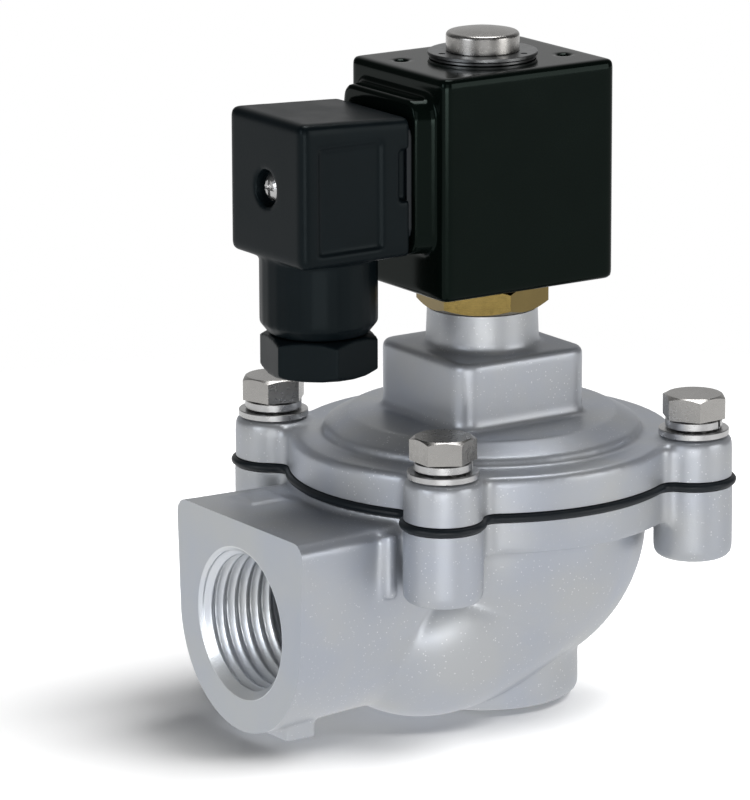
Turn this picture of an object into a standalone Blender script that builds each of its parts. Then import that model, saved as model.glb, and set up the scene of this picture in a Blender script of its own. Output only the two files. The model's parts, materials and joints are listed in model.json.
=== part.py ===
"""Dust collector pulse valve: right-angle threaded body, bolted cover, diaphragm and coil pilot.

Metres, +Z up. The outlet axis is Z, the outlet face lies on z = 0, the inlet looks along -X.
"""
import bmesh
import bpy
import math

MM = 0.001

# shared clearances
SEAT = 0.2 * MM          # between two pieces that rest on each other
SLIP = 0.3 * MM          # round a piece that sits in a hole
RUN = 0.05 * MM          # radial running fit of a moving piece
OVERLAP = 1.0 * MM       # how far joined solids reach into each other
ROUND = 28               # facets of a large turned surface
SMALL_ROUND = 16         # facets of a small turned surface

# split plane between body and cover, above the outlet face
SPLIT_Z = 50.5 * MM

# bolt pattern and flange outline
FLANGE_R = 44.2 * MM
BOLT_CIRCLE_R = FLANGE_R + 4.5 * MM
EAR_R = 8.8 * MM
EAR_FILLET = 3.6 * MM
RUBBER_LIP = 1.0 * MM

# body casting
FLANGE_T = 7.4 * MM
FLANGE_LIP = 6.6 * MM
BOWL_R = FLANGE_R - FLANGE_LIP
BOWL_DROP = 9.4 * MM
BOWL_WALL = 4.6 * MM
BOSS_R = 9.0 * MM
BOSS_T = 16.8 * MM
BOSS_ROUND = 2.2 * MM
BOWL_FLARE = 2.0 * MM
LOBE_X = 4.1 * MM
LOBE_Z = 25.9 * MM
LOBE_HALF_LEN = 39.6 * MM
LOBE_HALF_W = 31.9 * MM
LOBE_HALF_H = 20.9 * MM
LOBE_TILT_DEG = 24.0
LOBE_POWER = 2.6
OUTLET_BOSS_R = 22.1 * MM
OUTLET_BOSS_ROUND = 1.5 * MM
INLET_X = 66.0 * MM
INLET_DROP = 25.0 * MM
INLET_HALF_W = 26.0 * MM
INLET_LOW_R = 25.0 * MM
INLET_TOP_DROP = 1.3 * MM
INLET_NECK_X = 40.0 * MM
INLET_NECK_HALF_W = 24.4 * MM
INLET_TOP_CHAMFER = 2.2 * MM
PORT_MINOR_R = 15.3 * MM
PORT_CHAMFER_R = 17.4 * MM
PORT_THREAD_LEN = 19.0 * MM
PIPE_R = 16.8 * MM
PIPE_BORE_R = 13.4 * MM
PIPE_FOOT_R = 20.0 * MM
SEAT_DROP = 1.0 * MM
SEAT_CHAMFER = 0.8 * MM
RIB_R = 2.0 * MM
RIB_OUT = 8.0 * MM
RIB_SINK = 1.3639 * MM
RIB_T = 17.0 * MM
FOOT_X = 56.3 * MM
FOOT_LEN = 7.6 * MM
FOOT_W = 20.0 * MM
FOOT_DEPTH = 1.3 * MM
FOOT_RISE = 5.0 * MM
PAD_LEN = 9.0 * MM
PAD_W = 9.0 * MM
PAD_X = 51.5 * MM
PAD_Y = 14.5 * MM
PAD_T = 0.7 * MM

# diaphragm
RUBBER_T = 1.9 * MM
CLAMP_R = 34.0 * MM
ROLL_IN_R = 21.0 * MM
ROLL_OUT_R = 32.4 * MM
ROLL_H = 3.0 * MM
ROLL_T = 1.6 * MM
CORE_R = 17.6 * MM
CORE_DROP = 0.8 * MM
LIFT = 5.5 * MM
PLATE_T = 1.6 * MM
PLATE_TOP_R = 17.0 * MM
PLATE_LOW_R = 12.0 * MM
RIVET_R = 4.0 * MM
RIVET_HEAD_R = 6.2 * MM
RIVET_HEAD_T = 1.8 * MM
MAIN_SPRING_R = 9.6 * MM
MAIN_WIRE_R = 0.8 * MM

# cover casting
RIM_H = 8.2 * MM
EAR_PAD_H = 9.2 * MM
PAD_R = EAR_R - 0.1 * MM
PAD_ROUND = 1.4 * MM
RIM_ROUND = 1.8 * MM
DISC_STEP = 8.0 * MM
DISC_R = FLANGE_R - DISC_STEP
DISC_H = 10.3 * MM
CONE_RUN = 5.8 * MM
CONE_R = DISC_R - CONE_RUN
PLATE_H = 13.1 * MM
BLOCK_HALF = 17.6 * MM
BLOCK_CORNER_R = 4.6 * MM
BLOCK_H = 28.6 * MM
BLOCK_ROUND = 1.4 * MM
SKIRT_OUT = 1.2 * MM
SKIRT_H = 2.2 * MM
NECK_R = 12.9 * MM
NECK_TOP_R = 12.6 * MM
NECK_H = 37.2 * MM
NECK_FILLET = 1.2 * MM
CAVITY_R = 33.6 * MM
CAVITY_H = 9.6 * MM
CAVITY_TOP_R = 25.0 * MM
POCKET_R = 12.4 * MM
POCKET_H = 18.6 * MM
PILOT_R = 9.0 * MM
PILOT_DEPTH = 15.5 * MM
PILOT_SEAT_R = 3.2 * MM
PILOT_SEAT_H = 1.3 * MM
ORIFICE_R = 1.6 * MM
VENT_R = 2.5 * MM

# cover bolts M8
BOLT_R = 4.0 * MM
BOLT_HEAD_AF = 13.0 * MM
BOLT_HEAD_T = 5.3 * MM
BOLT_LEN = 25.0 * MM
BOLT_TIP_CHAMFER = 0.7 * MM
WASHER_R = 8.0 * MM
WASHER_T = 1.5 * MM
SPLIT_WASHER_R = 6.5 * MM
SPLIT_WASHER_T = 2.1 * MM
SPLIT_WASHER_SLOT = 1.0 * MM

# brass base of the pilot tube
HEX_AF = 26.1 * MM
HEX_T = 6.3 * MM
HEX_TURN_DEG = -159.8
SPIGOT_R = 8.65 * MM
SPIGOT_LEN = 8.6 * MM
RING_WIRE = 0.95 * MM

# tube, core and plunger
TUBE_R = 8.3 * MM
TUBE_WALL = 0.8 * MM
TUBE_BORE_R = TUBE_R - TUBE_WALL
TUBE_SOCKET = 4.6 * MM
CAP_H = 4.2 * MM
CAP_DOME = 0.9 * MM
GROOVE_DEPTH = 1.0 * MM
GROOVE_R = TUBE_R - GROOVE_DEPTH
GROOVE_H = 1.1 * MM
TUBE_END_T = 3.2 * MM
PLUNGER_LEN = 44.0 * MM
PLUNGER_STROKE = 1.6 * MM
PLUNGER_NOSE_STEP = 1.3 * MM
PLUNGER_NOSE_R = TUBE_BORE_R - PLUNGER_NOSE_STEP
SEAL_RIM = 1.6 * MM
SEAL_R = PLUNGER_NOSE_R - SEAL_RIM
SEAL_T = 3.0 * MM
SEAL_OUT = 0.9 * MM
PLUNGER_WALL = 3.3 * MM
PLUNGER_POCKET_R = TUBE_BORE_R - PLUNGER_WALL
PLUNGER_POCKET = 12.0 * MM
PLUNGER_SPRING_ROOM = 0.9 * MM
PLUNGER_SPRING_R = PLUNGER_POCKET_R - PLUNGER_SPRING_ROOM
PLUNGER_WIRE_R = 0.4 * MM

# coil
COIL_HALF_X = 23.4 * MM
COIL_HALF_Y = 18.9 * MM
COIL_H = 50.4 * MM
COIL_CORNER_R = 2.0 * MM
COIL_ROUND = 1.1 * MM
MARK_R = 1.6 * MM
MARK_DEPTH = 1.2 * MM
MARK_X = 17.0 * MM
MARK_Y = 7.5 * MM
TERM_T = 4.9 * MM
TERM_HALF_Y = 16.4 * MM
TERM_TAPER = 2.2 * MM
TERM_LOW = 10.4 * MM
TERM_HIGH = 45.6 * MM
TERM_CORNER_R = 4.0 * MM
BLADE_W = 6.3 * MM
BLADE_T = 0.8 * MM
BLADE_OUT = 9.0 * MM
BLADE_SPREAD = 9.0 * MM
EARTH_DROP = 9.0 * MM

# connector
GASKET_T = 1.2 * MM
GASKET_HALF = 13.4 * MM
PLUG_LEN = 28.4 * MM
PLUG_HALF_Y = 15.0 * MM
PLUG_LOW = 10.8 * MM
PLUG_HIGH_FRONT = 43.6 * MM
PLUG_HIGH_REAR = 42.2 * MM
PLUG_ROUND = 1.8 * MM
PLUG_WALL = 2.4 * MM
PANEL_DEPTH = 0.7 * MM
PANEL_LEN = 16.6 * MM
PANEL_H = 24.0 * MM
PANEL_SHIFT = 1.4 * MM
SLOT_LEN = 2.6 * MM
SLOT_H = 11.5 * MM
SLOT_DEPTH = 1.6 * MM
SCREW_HOLE_R = 4.2 * MM
SCREW_HOLE_DEPTH = 3.2 * MM
SCREW_HEAD_R = 3.0 * MM
SCREW_HEAD_T = 2.1 * MM
SCREW_R = 1.5 * MM
SCREW_ENGAGE = 3.5 * MM
CROSS_W = 1.0 * MM
CROSS_L = 3.6 * MM
CROSS_DEPTH = 1.1 * MM
SPOUT_R = 13.3 * MM
SPOUT_INSET = 0.6 * MM
SPOUT_LEN = 17.6 * MM
SPOUT_CHAMFER = 2.6 * MM
SPOUT_BORE_R = 9.4 * MM
INSERT_T = 6.5 * MM
NUT_AF = 23.4 * MM
NUT_T = 9.0 * MM
NUT_LIP = 0.6 * MM
NUT_HOLE_R = 5.2 * MM
NUT_BORE_R = 8.2 * MM
NUT_SPIGOT_R = 9.05 * MM
NUT_SPIGOT = 7.0 * MM
GLAND_SEAL_R = 7.9 * MM
GLAND_HOLE_R = 4.4 * MM
GLAND_SEAL_T = 6.0 * MM
GLAND_RING_T = 0.8 * MM

# clip on the tube
CLIP_R = 12.4 * MM
CLIP_T = 0.7 * MM
CLIP_SLOT_W = 2.0 * (GROOVE_R + SLIP)
CLIP_HOLE_R = 0.8 * MM
CLIP_HOLE_AT = 10.2 * MM
CLIP_WASHER_R = 12.1 * MM
CLIP_WASHER_T = 0.55 * MM

# levels worked out from the sizes above
RUBBER_Z = SPLIT_Z + SEAT
COVER_Z = RUBBER_Z + RUBBER_T + SEAT
RIM_Z = COVER_Z + RIM_H
EAR_Z = COVER_Z + EAR_PAD_H
PLATE_Z = COVER_Z + PLATE_H
BLOCK_Z = COVER_Z + BLOCK_H
NECK_Z = COVER_Z + NECK_H
PILOT_FLOOR_Z = NECK_Z - PILOT_DEPTH
SEAT_TOP_Z = PILOT_FLOOR_Z + PILOT_SEAT_H
HEX_Z = NECK_Z + SEAT
HEX_TOP_Z = HEX_Z + HEX_T
COIL_Z = HEX_TOP_Z + SEAT
COIL_TOP_Z = COIL_Z + COIL_H
CLIP_WASHER_Z = COIL_TOP_Z + SEAT
CLIP_Z = CLIP_WASHER_Z + CLIP_WASHER_T + SEAT
GROOVE_Z = CLIP_Z - SEAT
CAP_Z = GROOVE_Z + GROOVE_H
CAP_TOP_Z = CAP_Z + CAP_H
TUBE_Z = HEX_TOP_Z - TUBE_SOCKET
TUBE_BORE_TOP_Z = GROOVE_Z - TUBE_END_T
SEAL_Z = SEAT_TOP_Z + SEAT
PLUNGER_Z = SEAL_Z + SEAL_OUT
PLUNGER_TOP_Z = PLUNGER_Z + PLUNGER_LEN
CORE_Z = PLUNGER_TOP_Z + PLUNGER_STROKE + SEAT
VALVE_SEAT_Z = SPLIT_Z - SEAT_DROP
CORE_LOW_Z = VALVE_SEAT_Z + SEAT
INLET_Z = SPLIT_Z - INLET_DROP
FACE_X = -INLET_X
TERM_X = -COIL_HALF_X - TERM_T
GASKET_X = TERM_X - SEAT - GASKET_T
PLUG_X = GASKET_X - SEAT
PLUG_END_X = PLUG_X - PLUG_LEN
PLUG_LOW_Z = COIL_Z + PLUG_LOW
PLUG_MID_Z = COIL_Z + 0.5 * (PLUG_LOW + PLUG_HIGH_FRONT)
SPOUT_X = PLUG_END_X + SPOUT_R + SPOUT_INSET
SPOUT_END_Z = PLUG_LOW_Z - SPOUT_LEN
NUT_Z = SPOUT_END_Z - SEAT - NUT_T
BOLT_AT = BOLT_CIRCLE_R / math.sqrt(2.0)
EARS = [(-BOLT_AT, -BOLT_AT), (BOLT_AT, -BOLT_AT), (BOLT_AT, BOLT_AT), (-BOLT_AT, BOLT_AT)]

PARTS = "dust_collector_pulse_valve"
CUTTERS = "construction"


def clear_file():
    for obj in list(bpy.data.objects):
        bpy.data.objects.remove(obj, do_unlink=True)


def collection(name):
    coll = bpy.data.collections.new(name)
    bpy.context.scene.collection.children.link(coll)
    return coll


def material(name, color, metallic, roughness):
    mat = bpy.data.materials.new(name)
    mat.use_nodes = True
    shader = mat.node_tree.nodes["Principled BSDF"]
    shader.inputs["Base Color"].default_value = (*color, 1.0)
    shader.inputs["Metallic"].default_value = metallic
    shader.inputs["Roughness"].default_value = roughness
    mat.diffuse_color = (*color, 1.0)
    return mat


def link(name, mesh):
    obj = bpy.data.objects.new(name, mesh)
    bpy.data.collections[CUTTERS].objects.link(obj)
    return obj


def from_bmesh(name, bm):
    bmesh.ops.recalc_face_normals(bm, faces=bm.faces)
    mesh = bpy.data.meshes.new(name)
    bm.to_mesh(mesh)
    bm.free()
    return link(name, mesh)


def turned(name, profile, steps=ROUND, center=(0.0, 0.0), axis="Z"):
    """Revolve a profile of (radius, height) that runs down its outer side."""
    mesh = bpy.data.meshes.new(name)
    verts = [(r, 0.0, z) for r, z in profile]
    edges = [(i, i + 1) for i in range(len(verts) - 1)]
    if profile[0][0] > 1e-6:
        edges.append((len(verts) - 1, 0))
    mesh.from_pydata(verts, edges, [])
    obj = link(name, mesh)
    mod = obj.modifiers.new("turn", "SCREW")
    mod.axis = "Z"
    mod.steps = steps
    mod.render_steps = steps
    mod.use_merge_vertices = True
    mod.merge_threshold = 0.00001
    obj = welded(obj)
    obj.location = (center[0], center[1], 0.0)
    if axis == "X":
        obj.rotation_euler = (0.0, math.radians(-90.0), 0.0)
    return obj


def welded(obj):
    """Bake modifiers, weld the mesh and face it outwards."""
    bpy.context.view_layer.update()
    graph = bpy.context.evaluated_depsgraph_get()
    mesh = bpy.data.meshes.new_from_object(obj.evaluated_get(graph))
    bm = bmesh.new()
    bm.from_mesh(mesh)
    bmesh.ops.remove_doubles(bm, verts=bm.verts, dist=0.000002)
    bmesh.ops.recalc_face_normals(bm, faces=bm.faces)
    bm.to_mesh(mesh)
    bm.free()
    obj.modifiers.clear()
    obj.data = mesh
    return obj


def cylinder(name, radius, z0, z1, center=(0.0, 0.0), steps=SMALL_ROUND):
    bm = bmesh.new()
    bmesh.ops.create_cone(bm, cap_ends=True, segments=steps, radius1=radius, radius2=radius,
                          depth=z1 - z0)
    bmesh.ops.translate(bm, verts=bm.verts, vec=(center[0], center[1], 0.5 * (z0 + z1)))
    return from_bmesh(name, bm)


def block(name, low, high, corner=0.0, axis=2, segments=4):
    """Box between two corners, its edges along one axis rounded."""
    bm = bmesh.new()
    bmesh.ops.create_cube(bm, size=1.0)
    for vert in bm.verts:
        for k in range(3):
            vert.co[k] = low[k] if vert.co[k] < 0.0 else high[k]
    if corner > 0.0:
        edges = [e for e in bm.edges if abs((e.verts[0].co - e.verts[1].co).normalized()[axis]) > 0.99]
        bmesh.ops.bevel(bm, geom=edges, offset=corner, segments=segments, affect="EDGES", profile=0.5)
    return from_bmesh(name, bm)


def bevel(obj, width, segments=2, angle=40.0):
    mod = obj.modifiers.new("round", "BEVEL")
    mod.width = width
    mod.segments = segments
    mod.limit_method = "ANGLE"
    mod.angle_limit = math.radians(angle)
    return obj


def plate(name, loops, z0, z1):
    """Flat piece from closed outlines; inner outlines are holes."""
    curve = bpy.data.curves.new(name, "CURVE")
    curve.dimensions = "2D"
    curve.fill_mode = "BOTH"
    curve.extrude = 0.5 * (z1 - z0)
    for loop in loops:
        spline = curve.splines.new("POLY")
        spline.points.add(len(loop) - 1)
        for point, (x, y) in zip(spline.points, loop):
            point.co = (x, y, 0.0, 1.0)
        spline.use_cyclic_u = True
    return baked_curve(name, curve, (0.0, 0.0, 0.5 * (z0 + z1)))


def wire(name, points, radius, resolution=2):
    """Round wire along a line of points, with closed ends."""
    curve = bpy.data.curves.new(name, "CURVE")
    curve.dimensions = "3D"
    curve.bevel_depth = radius
    curve.bevel_resolution = resolution
    curve.use_fill_caps = True
    spline = curve.splines.new("POLY")
    spline.points.add(len(points) - 1)
    for point, co in zip(spline.points, points):
        point.co = (*co, 1.0)
    return baked_curve(name, curve, (0.0, 0.0, 0.0))


def baked_curve(name, curve, location):
    """Turn a curve into a welded mesh so that it can be cut."""
    holder = bpy.data.objects.new(name + "_curve", curve)
    bpy.data.collections[CUTTERS].objects.link(holder)
    holder.location = location
    bpy.context.view_layer.update()
    graph = bpy.context.evaluated_depsgraph_get()
    mesh = bpy.data.meshes.new_from_object(holder.evaluated_get(graph))
    matrix = holder.matrix_world.copy()
    bpy.data.objects.remove(holder, do_unlink=True)
    bm = bmesh.new()
    bm.from_mesh(mesh)
    bmesh.ops.remove_doubles(bm, verts=bm.verts, dist=0.000002)
    bmesh.ops.dissolve_limit(bm, angle_limit=0.002, verts=bm.verts, edges=bm.edges)
    bmesh.ops.recalc_face_normals(bm, faces=bm.faces)
    bm.to_mesh(mesh)
    bm.free()
    obj = link(name, mesh)
    obj.matrix_world = matrix
    return obj


def combine(obj, other, operation):
    mod = obj.modifiers.new(other.name, "BOOLEAN")
    mod.operation = operation
    mod.solver = "EXACT"
    mod.object = other
    other.display_type = "WIRE"
    other.hide_render = True
    return obj


def join(obj, *others):
    for other in others:
        combine(obj, other, "UNION")
    return obj


def cut(obj, *others):
    for other in others:
        combine(obj, other, "DIFFERENCE")
    return obj


def finish(obj, name, mat, smooth=32.0, pivot=(0.0, 0.0, 0.0)):
    """Bake the construction into one named part with its own material."""
    bpy.context.view_layer.update()
    graph = bpy.context.evaluated_depsgraph_get()
    mesh = bpy.data.meshes.new_from_object(obj.evaluated_get(graph))
    mesh.transform(obj.matrix_world)
    bm = bmesh.new()
    bm.from_mesh(mesh)
    bmesh.ops.remove_doubles(bm, verts=bm.verts, dist=0.000004)
    bmesh.ops.dissolve_degenerate(bm, edges=bm.edges, dist=0.000002)
    bmesh.ops.translate(bm, verts=bm.verts, vec=[-p for p in pivot])
    bm.to_mesh(mesh)
    bm.free()
    mesh.materials.clear()
    mesh.materials.append(mat)
    mesh.shade_smooth()
    mesh.set_sharp_from_angle(angle=math.radians(smooth))
    mesh.name = name
    bpy.data.objects.remove(obj, do_unlink=True)
    part = bpy.data.objects.new(name, mesh)
    part.location = pivot
    bpy.data.collections[PARTS].objects.link(part)
    return part


def arc(center, radius, start, end, steps):
    """Points on an arc, both ends included."""
    points = []
    for i in range(steps + 1):
        a = start + (end - start) * i / steps
        points.append((center[0] + radius * math.cos(a), center[1] + radius * math.sin(a)))
    return points


def circle(center, radius, steps):
    return arc(center, radius, 0.0, 2.0 * math.pi * (steps - 1) / steps, steps - 1)


def flange_outline(radius, ear_r, fillet):
    """Round flange with four ears and a hollow corner on both sides of each ear."""
    reach = BOLT_CIRCLE_R
    near = radius + fillet
    far = ear_r + fillet
    swing = math.acos((reach * reach + near * near - far * far) / (2.0 * reach * near))
    lean = math.acos((reach * reach + far * far - near * near) / (2.0 * reach * far))
    points = []
    angles = sorted(math.atan2(y, x) for x, y in EARS)
    for i, angle in enumerate(angles):
        ear = (reach * math.cos(angle), reach * math.sin(angle))
        before = (near * math.cos(angle - swing), near * math.sin(angle - swing))
        after = (near * math.cos(angle + swing), near * math.sin(angle + swing))
        turn = math.pi - lean
        start = angle - swing
        points += arc(before, fillet, start + math.pi, angle - turn + math.pi, 2)
        points += arc(ear, ear_r, angle - turn, angle + turn, 9)[1:-1]
        points += arc(after, fillet, angle + turn + math.pi, angle + swing + math.pi, 2)
        following = angles[(i + 1) % 4] + (2.0 * math.pi if i == 3 else 0.0)
        points += arc((0.0, 0.0), radius, angle + swing, following - swing, 6)[1:-1]
    return points


def bolt_holes(name, radius, z0, z1):
    return [cylinder(f"{name}_{i}", radius, z0, z1, ear, 12) for i, ear in enumerate(EARS)]


def sphere_profile(radius, z_mid, low_r, steps):
    """Points down a round bowl from below its widest level to a smaller radius."""
    points = []
    last = math.acos(low_r / radius)
    for i in range(1, steps + 1):
        a = last * i / steps
        points.append((radius * math.cos(a), z_mid - radius * math.sin(a)))
    return points


def rounded_lump(name, halves, power, rings):
    """Sphere pushed out a little towards the box with the given half sizes."""
    bm = bmesh.new()
    bmesh.ops.create_uvsphere(bm, u_segments=2 * rings, v_segments=rings, radius=1.0)
    for vert in bm.verts:
        total = sum(abs(c) ** power for c in vert.co)
        stretch = total ** (-1.0 / power)
        vert.co = [halves[k] * vert.co[k] * stretch for k in range(3)]
    return from_bmesh(name, bm)


def bowl_lobe(name, inset, rings):
    """Swollen elbow from the inlet to the bowl, low at the inlet; inset makes its hollow."""
    halves = (LOBE_HALF_LEN - inset, LOBE_HALF_W - inset, LOBE_HALF_H - inset)
    lobe = rounded_lump(name, halves, LOBE_POWER, rings)
    lobe.rotation_euler = (0.0, math.radians(-LOBE_TILT_DEG), 0.0)
    lobe.location = (-LOBE_X, 0.0, LOBE_Z)
    return lobe


def inlet_block():
    """Inlet branch: flat top, round lower half, narrower where it meets the bowl."""
    top = SPLIT_Z - INLET_TOP_DROP
    loop = []
    turn = math.pi * 7.0 / 180.0
    loop.append((INLET_HALF_W - INLET_TOP_CHAMFER, top))
    loop.append((INLET_HALF_W, top - INLET_TOP_CHAMFER))
    for y, z in arc((0.0, INLET_Z), INLET_LOW_R, -turn, -math.pi + turn, 14):
        loop.append((y, z))
    loop.append((-INLET_HALF_W, top - INLET_TOP_CHAMFER))
    loop.append((-INLET_HALF_W + INLET_TOP_CHAMFER, top))
    bm = bmesh.new()
    shrink = INLET_NECK_HALF_W / INLET_HALF_W
    inner_x = -0.5 * BOWL_R
    rings = []
    for x, scale in ((FACE_X, 1.0), (-INLET_NECK_X, shrink), (inner_x, shrink)):
        ring = []
        for y, z in loop:
            drop = top + (z - top) * (0.5 + 0.5 * scale)
            ring.append(bm.verts.new((x, y * scale, drop)))
        rings.append(ring)
    count = len(loop)
    for a, b in zip(rings, rings[1:]):
        for i in range(count):
            j = (i + 1) % count
            bm.faces.new((a[i], a[j], b[j], b[i]))
    bm.faces.new(list(reversed(rings[0])))
    bm.faces.new(rings[-1])
    return from_bmesh("inlet_branch", bm)


def valve_body(mat):
    bowl_z = SPLIT_Z - BOWL_DROP
    outline = flange_outline(FLANGE_R, EAR_R, EAR_FILLET)
    body = plate("body_flange", [outline], SPLIT_Z - FLANGE_T, SPLIT_Z)
    flare_top = SPLIT_Z - FLANGE_T
    flare_z = flare_top - BOWL_FLARE
    bowl = [(0.0, flare_top + OVERLAP), (BOWL_R + BOWL_FLARE, flare_top + OVERLAP)]
    bowl += arc((BOWL_R + BOWL_FLARE, flare_z), BOWL_FLARE, 0.5 * math.pi, math.pi, 2)
    bowl += sphere_profile(BOWL_R, bowl_z, OUTLET_BOSS_R, 6)
    boss_length = bowl_z - math.sqrt(BOWL_R * BOWL_R - OUTLET_BOSS_R * OUTLET_BOSS_R)
    boss_round = min(OUTLET_BOSS_ROUND, 0.5 * boss_length)
    bowl += arc((OUTLET_BOSS_R - boss_round, boss_round), boss_round, 0.0, -0.5 * math.pi, 2)
    bowl += [(0.0, 0.0)]
    join(body, turned("bowl", bowl, 36))
    join(body, bowl_lobe("lobe", 0.0, 16))
    join(body, inlet_block())
    for i, ear in enumerate(EARS):
        low = SPLIT_Z - BOSS_T
        boss = [(0.0, SPLIT_Z - OVERLAP), (BOSS_R, SPLIT_Z - OVERLAP), (BOSS_R, low + BOSS_ROUND)]
        boss += [(BOSS_R - 0.3 * BOSS_ROUND, low + 0.3 * BOSS_ROUND), (BOSS_R - BOSS_ROUND, low), (0.0, low)]
        join(body, turned(f"boss_{i}", boss, SMALL_ROUND, ear))
    for i, side in enumerate((-1.0, 1.0)):
        spot = (-BOLT_AT - RIB_OUT, side * (INLET_HALF_W - RIB_SINK))
        join(body, cylinder(f"rib_{i}", RIB_R, SPLIT_Z - RIB_T, SPLIT_Z - INLET_TOP_DROP - OVERLAP, spot, 12))
    foot_low = INLET_Z - INLET_LOW_R - FOOT_DEPTH
    foot = block("foot", (-FOOT_X - 0.5 * FOOT_LEN, -0.5 * FOOT_W, foot_low),
                 (-FOOT_X + 0.5 * FOOT_LEN, 0.5 * FOOT_W, foot_low + FOOT_RISE), 1.2 * MM)
    pad_top = SPLIT_Z - INLET_TOP_DROP + PAD_T
    pad = block("pad", (-PAD_X - 0.5 * PAD_LEN, PAD_Y - 0.5 * PAD_W, pad_top - 3.0 * PAD_T),
                (-PAD_X + 0.5 * PAD_LEN, PAD_Y + 0.5 * PAD_W, pad_top), 1.2 * MM)
    join(body, foot, pad)
    reach = 2.0 * FLANGE_R
    cut(body, block("above_split", (-reach, -reach, SPLIT_Z), (reach, reach, SPLIT_Z + LOBE_HALF_H)))
    cut(body, body_cavity(bowl_z), inlet_bore(), outlet_bore())
    hole_low = SPLIT_Z - BOSS_T + 3.0 * MM
    cut(body, *bolt_holes("tapped_hole", BOLT_R + SLIP, hole_low, SPLIT_Z + OVERLAP))
    return finish(body, "valve_body", mat)


def body_cavity(bowl_z):
    """Ring chamber between the bowl and the outlet pipe, deeper in the lobe."""
    inner = BOWL_R - BOWL_WALL
    foot_reach = PIPE_FOOT_R + 1.4 * MM
    depth = math.sqrt(inner * inner - foot_reach * foot_reach)
    foot_angle = math.asin(depth / inner)
    floor_z = bowl_z - depth
    profile = [(0.0, SPLIT_Z + OVERLAP), (inner, SPLIT_Z + OVERLAP)]
    for i in range(5):
        a = foot_angle * i / 4
        profile.append((inner * math.cos(a), bowl_z - inner * math.sin(a)))
    profile += [(0.0, floor_z)]
    chamber = turned("ring_chamber", profile, ROUND)
    join(chamber, bowl_lobe("lobe_hollow", BOWL_WALL, 9))
    shoulder = floor_z + 3.0 * MM
    pipe = [(0.0, VALVE_SEAT_Z), (PIPE_R, VALVE_SEAT_Z), (PIPE_R, shoulder + 5.0 * MM)]
    pipe += [(PIPE_FOOT_R, shoulder), (PIPE_FOOT_R, -OVERLAP), (0.0, -OVERLAP)]
    return cut(chamber, turned("outlet_pipe", pipe, ROUND))


def inlet_bore():
    reach = PORT_CHAMFER_R - PORT_MINOR_R
    inner = 0.62 * BOWL_R
    back = INLET_X + OVERLAP
    profile = [(0.0, back), (PORT_CHAMFER_R + OVERLAP, back), (PORT_MINOR_R, INLET_X - reach)]
    profile += [(PORT_MINOR_R, inner), (0.0, inner)]
    bore = turned("inlet_bore", profile, ROUND, axis="X")
    bore.location = (0.0, 0.0, INLET_Z)
    return bore


def outlet_bore():
    reach = PORT_CHAMFER_R - PORT_MINOR_R
    top = SPLIT_Z + OVERLAP
    profile = [(0.0, top), (PIPE_BORE_R + SEAT_CHAMFER, top), (PIPE_BORE_R + SEAT_CHAMFER, VALVE_SEAT_Z)]
    profile += [(PIPE_BORE_R, VALVE_SEAT_Z - SEAT_CHAMFER)]
    profile += [(PIPE_BORE_R, PORT_THREAD_LEN + 2.0 * MM), (PORT_MINOR_R, PORT_THREAD_LEN)]
    profile += [(PORT_MINOR_R, reach), (PORT_CHAMFER_R + OVERLAP, -OVERLAP), (0.0, -OVERLAP)]
    return turned("outlet_bore", profile, ROUND)


def diaphragm(mat):
    """Rubber sheet with the flange's outline, a rolled ring and a thick middle."""
    outline = flange_outline(FLANGE_R + RUBBER_LIP, EAR_R + RUBBER_LIP, EAR_FILLET + 1.8 * RUBBER_LIP)
    holes = [circle(ear, BOLT_R + SLIP, 12) for ear in EARS]
    inner = circle((0.0, 0.0), CLAMP_R + OVERLAP, ROUND)
    sheet = plate("sheet", [outline, inner] + holes, RUBBER_Z, RUBBER_Z + RUBBER_T)
    top = RUBBER_Z + RUBBER_T
    mid = 0.5 * (ROLL_IN_R + ROLL_OUT_R)
    half = 0.5 * (ROLL_OUT_R - ROLL_IN_R)
    hub = RIVET_R + SLIP
    profile = [(hub, top), (ROLL_IN_R - ROLL_T, top)]
    for i in range(6):
        a = math.pi * (1.0 - i / 5.0)
        out = half + 0.4 * ROLL_T
        profile.append((mid + out * math.cos(a), top + (ROLL_H - 0.2 * MM) * math.sin(a)))
    profile += [(CLAMP_R + 2.5 * OVERLAP, top), (CLAMP_R + 2.5 * OVERLAP, RUBBER_Z)]
    for i in range(6):
        a = math.pi * i / 5.0
        out = half - 0.6 * ROLL_T
        profile.append((mid + out * math.cos(a), RUBBER_Z + (ROLL_H - 0.3 * MM) * math.sin(a)))
    profile += [(CORE_R + CORE_DROP, RUBBER_Z), (CORE_R, CORE_LOW_Z), (hub, CORE_LOW_Z)]
    join(sheet, turned("rolled_middle", profile, ROUND))
    return finish(sheet, "main_diaphragm", mat)


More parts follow.
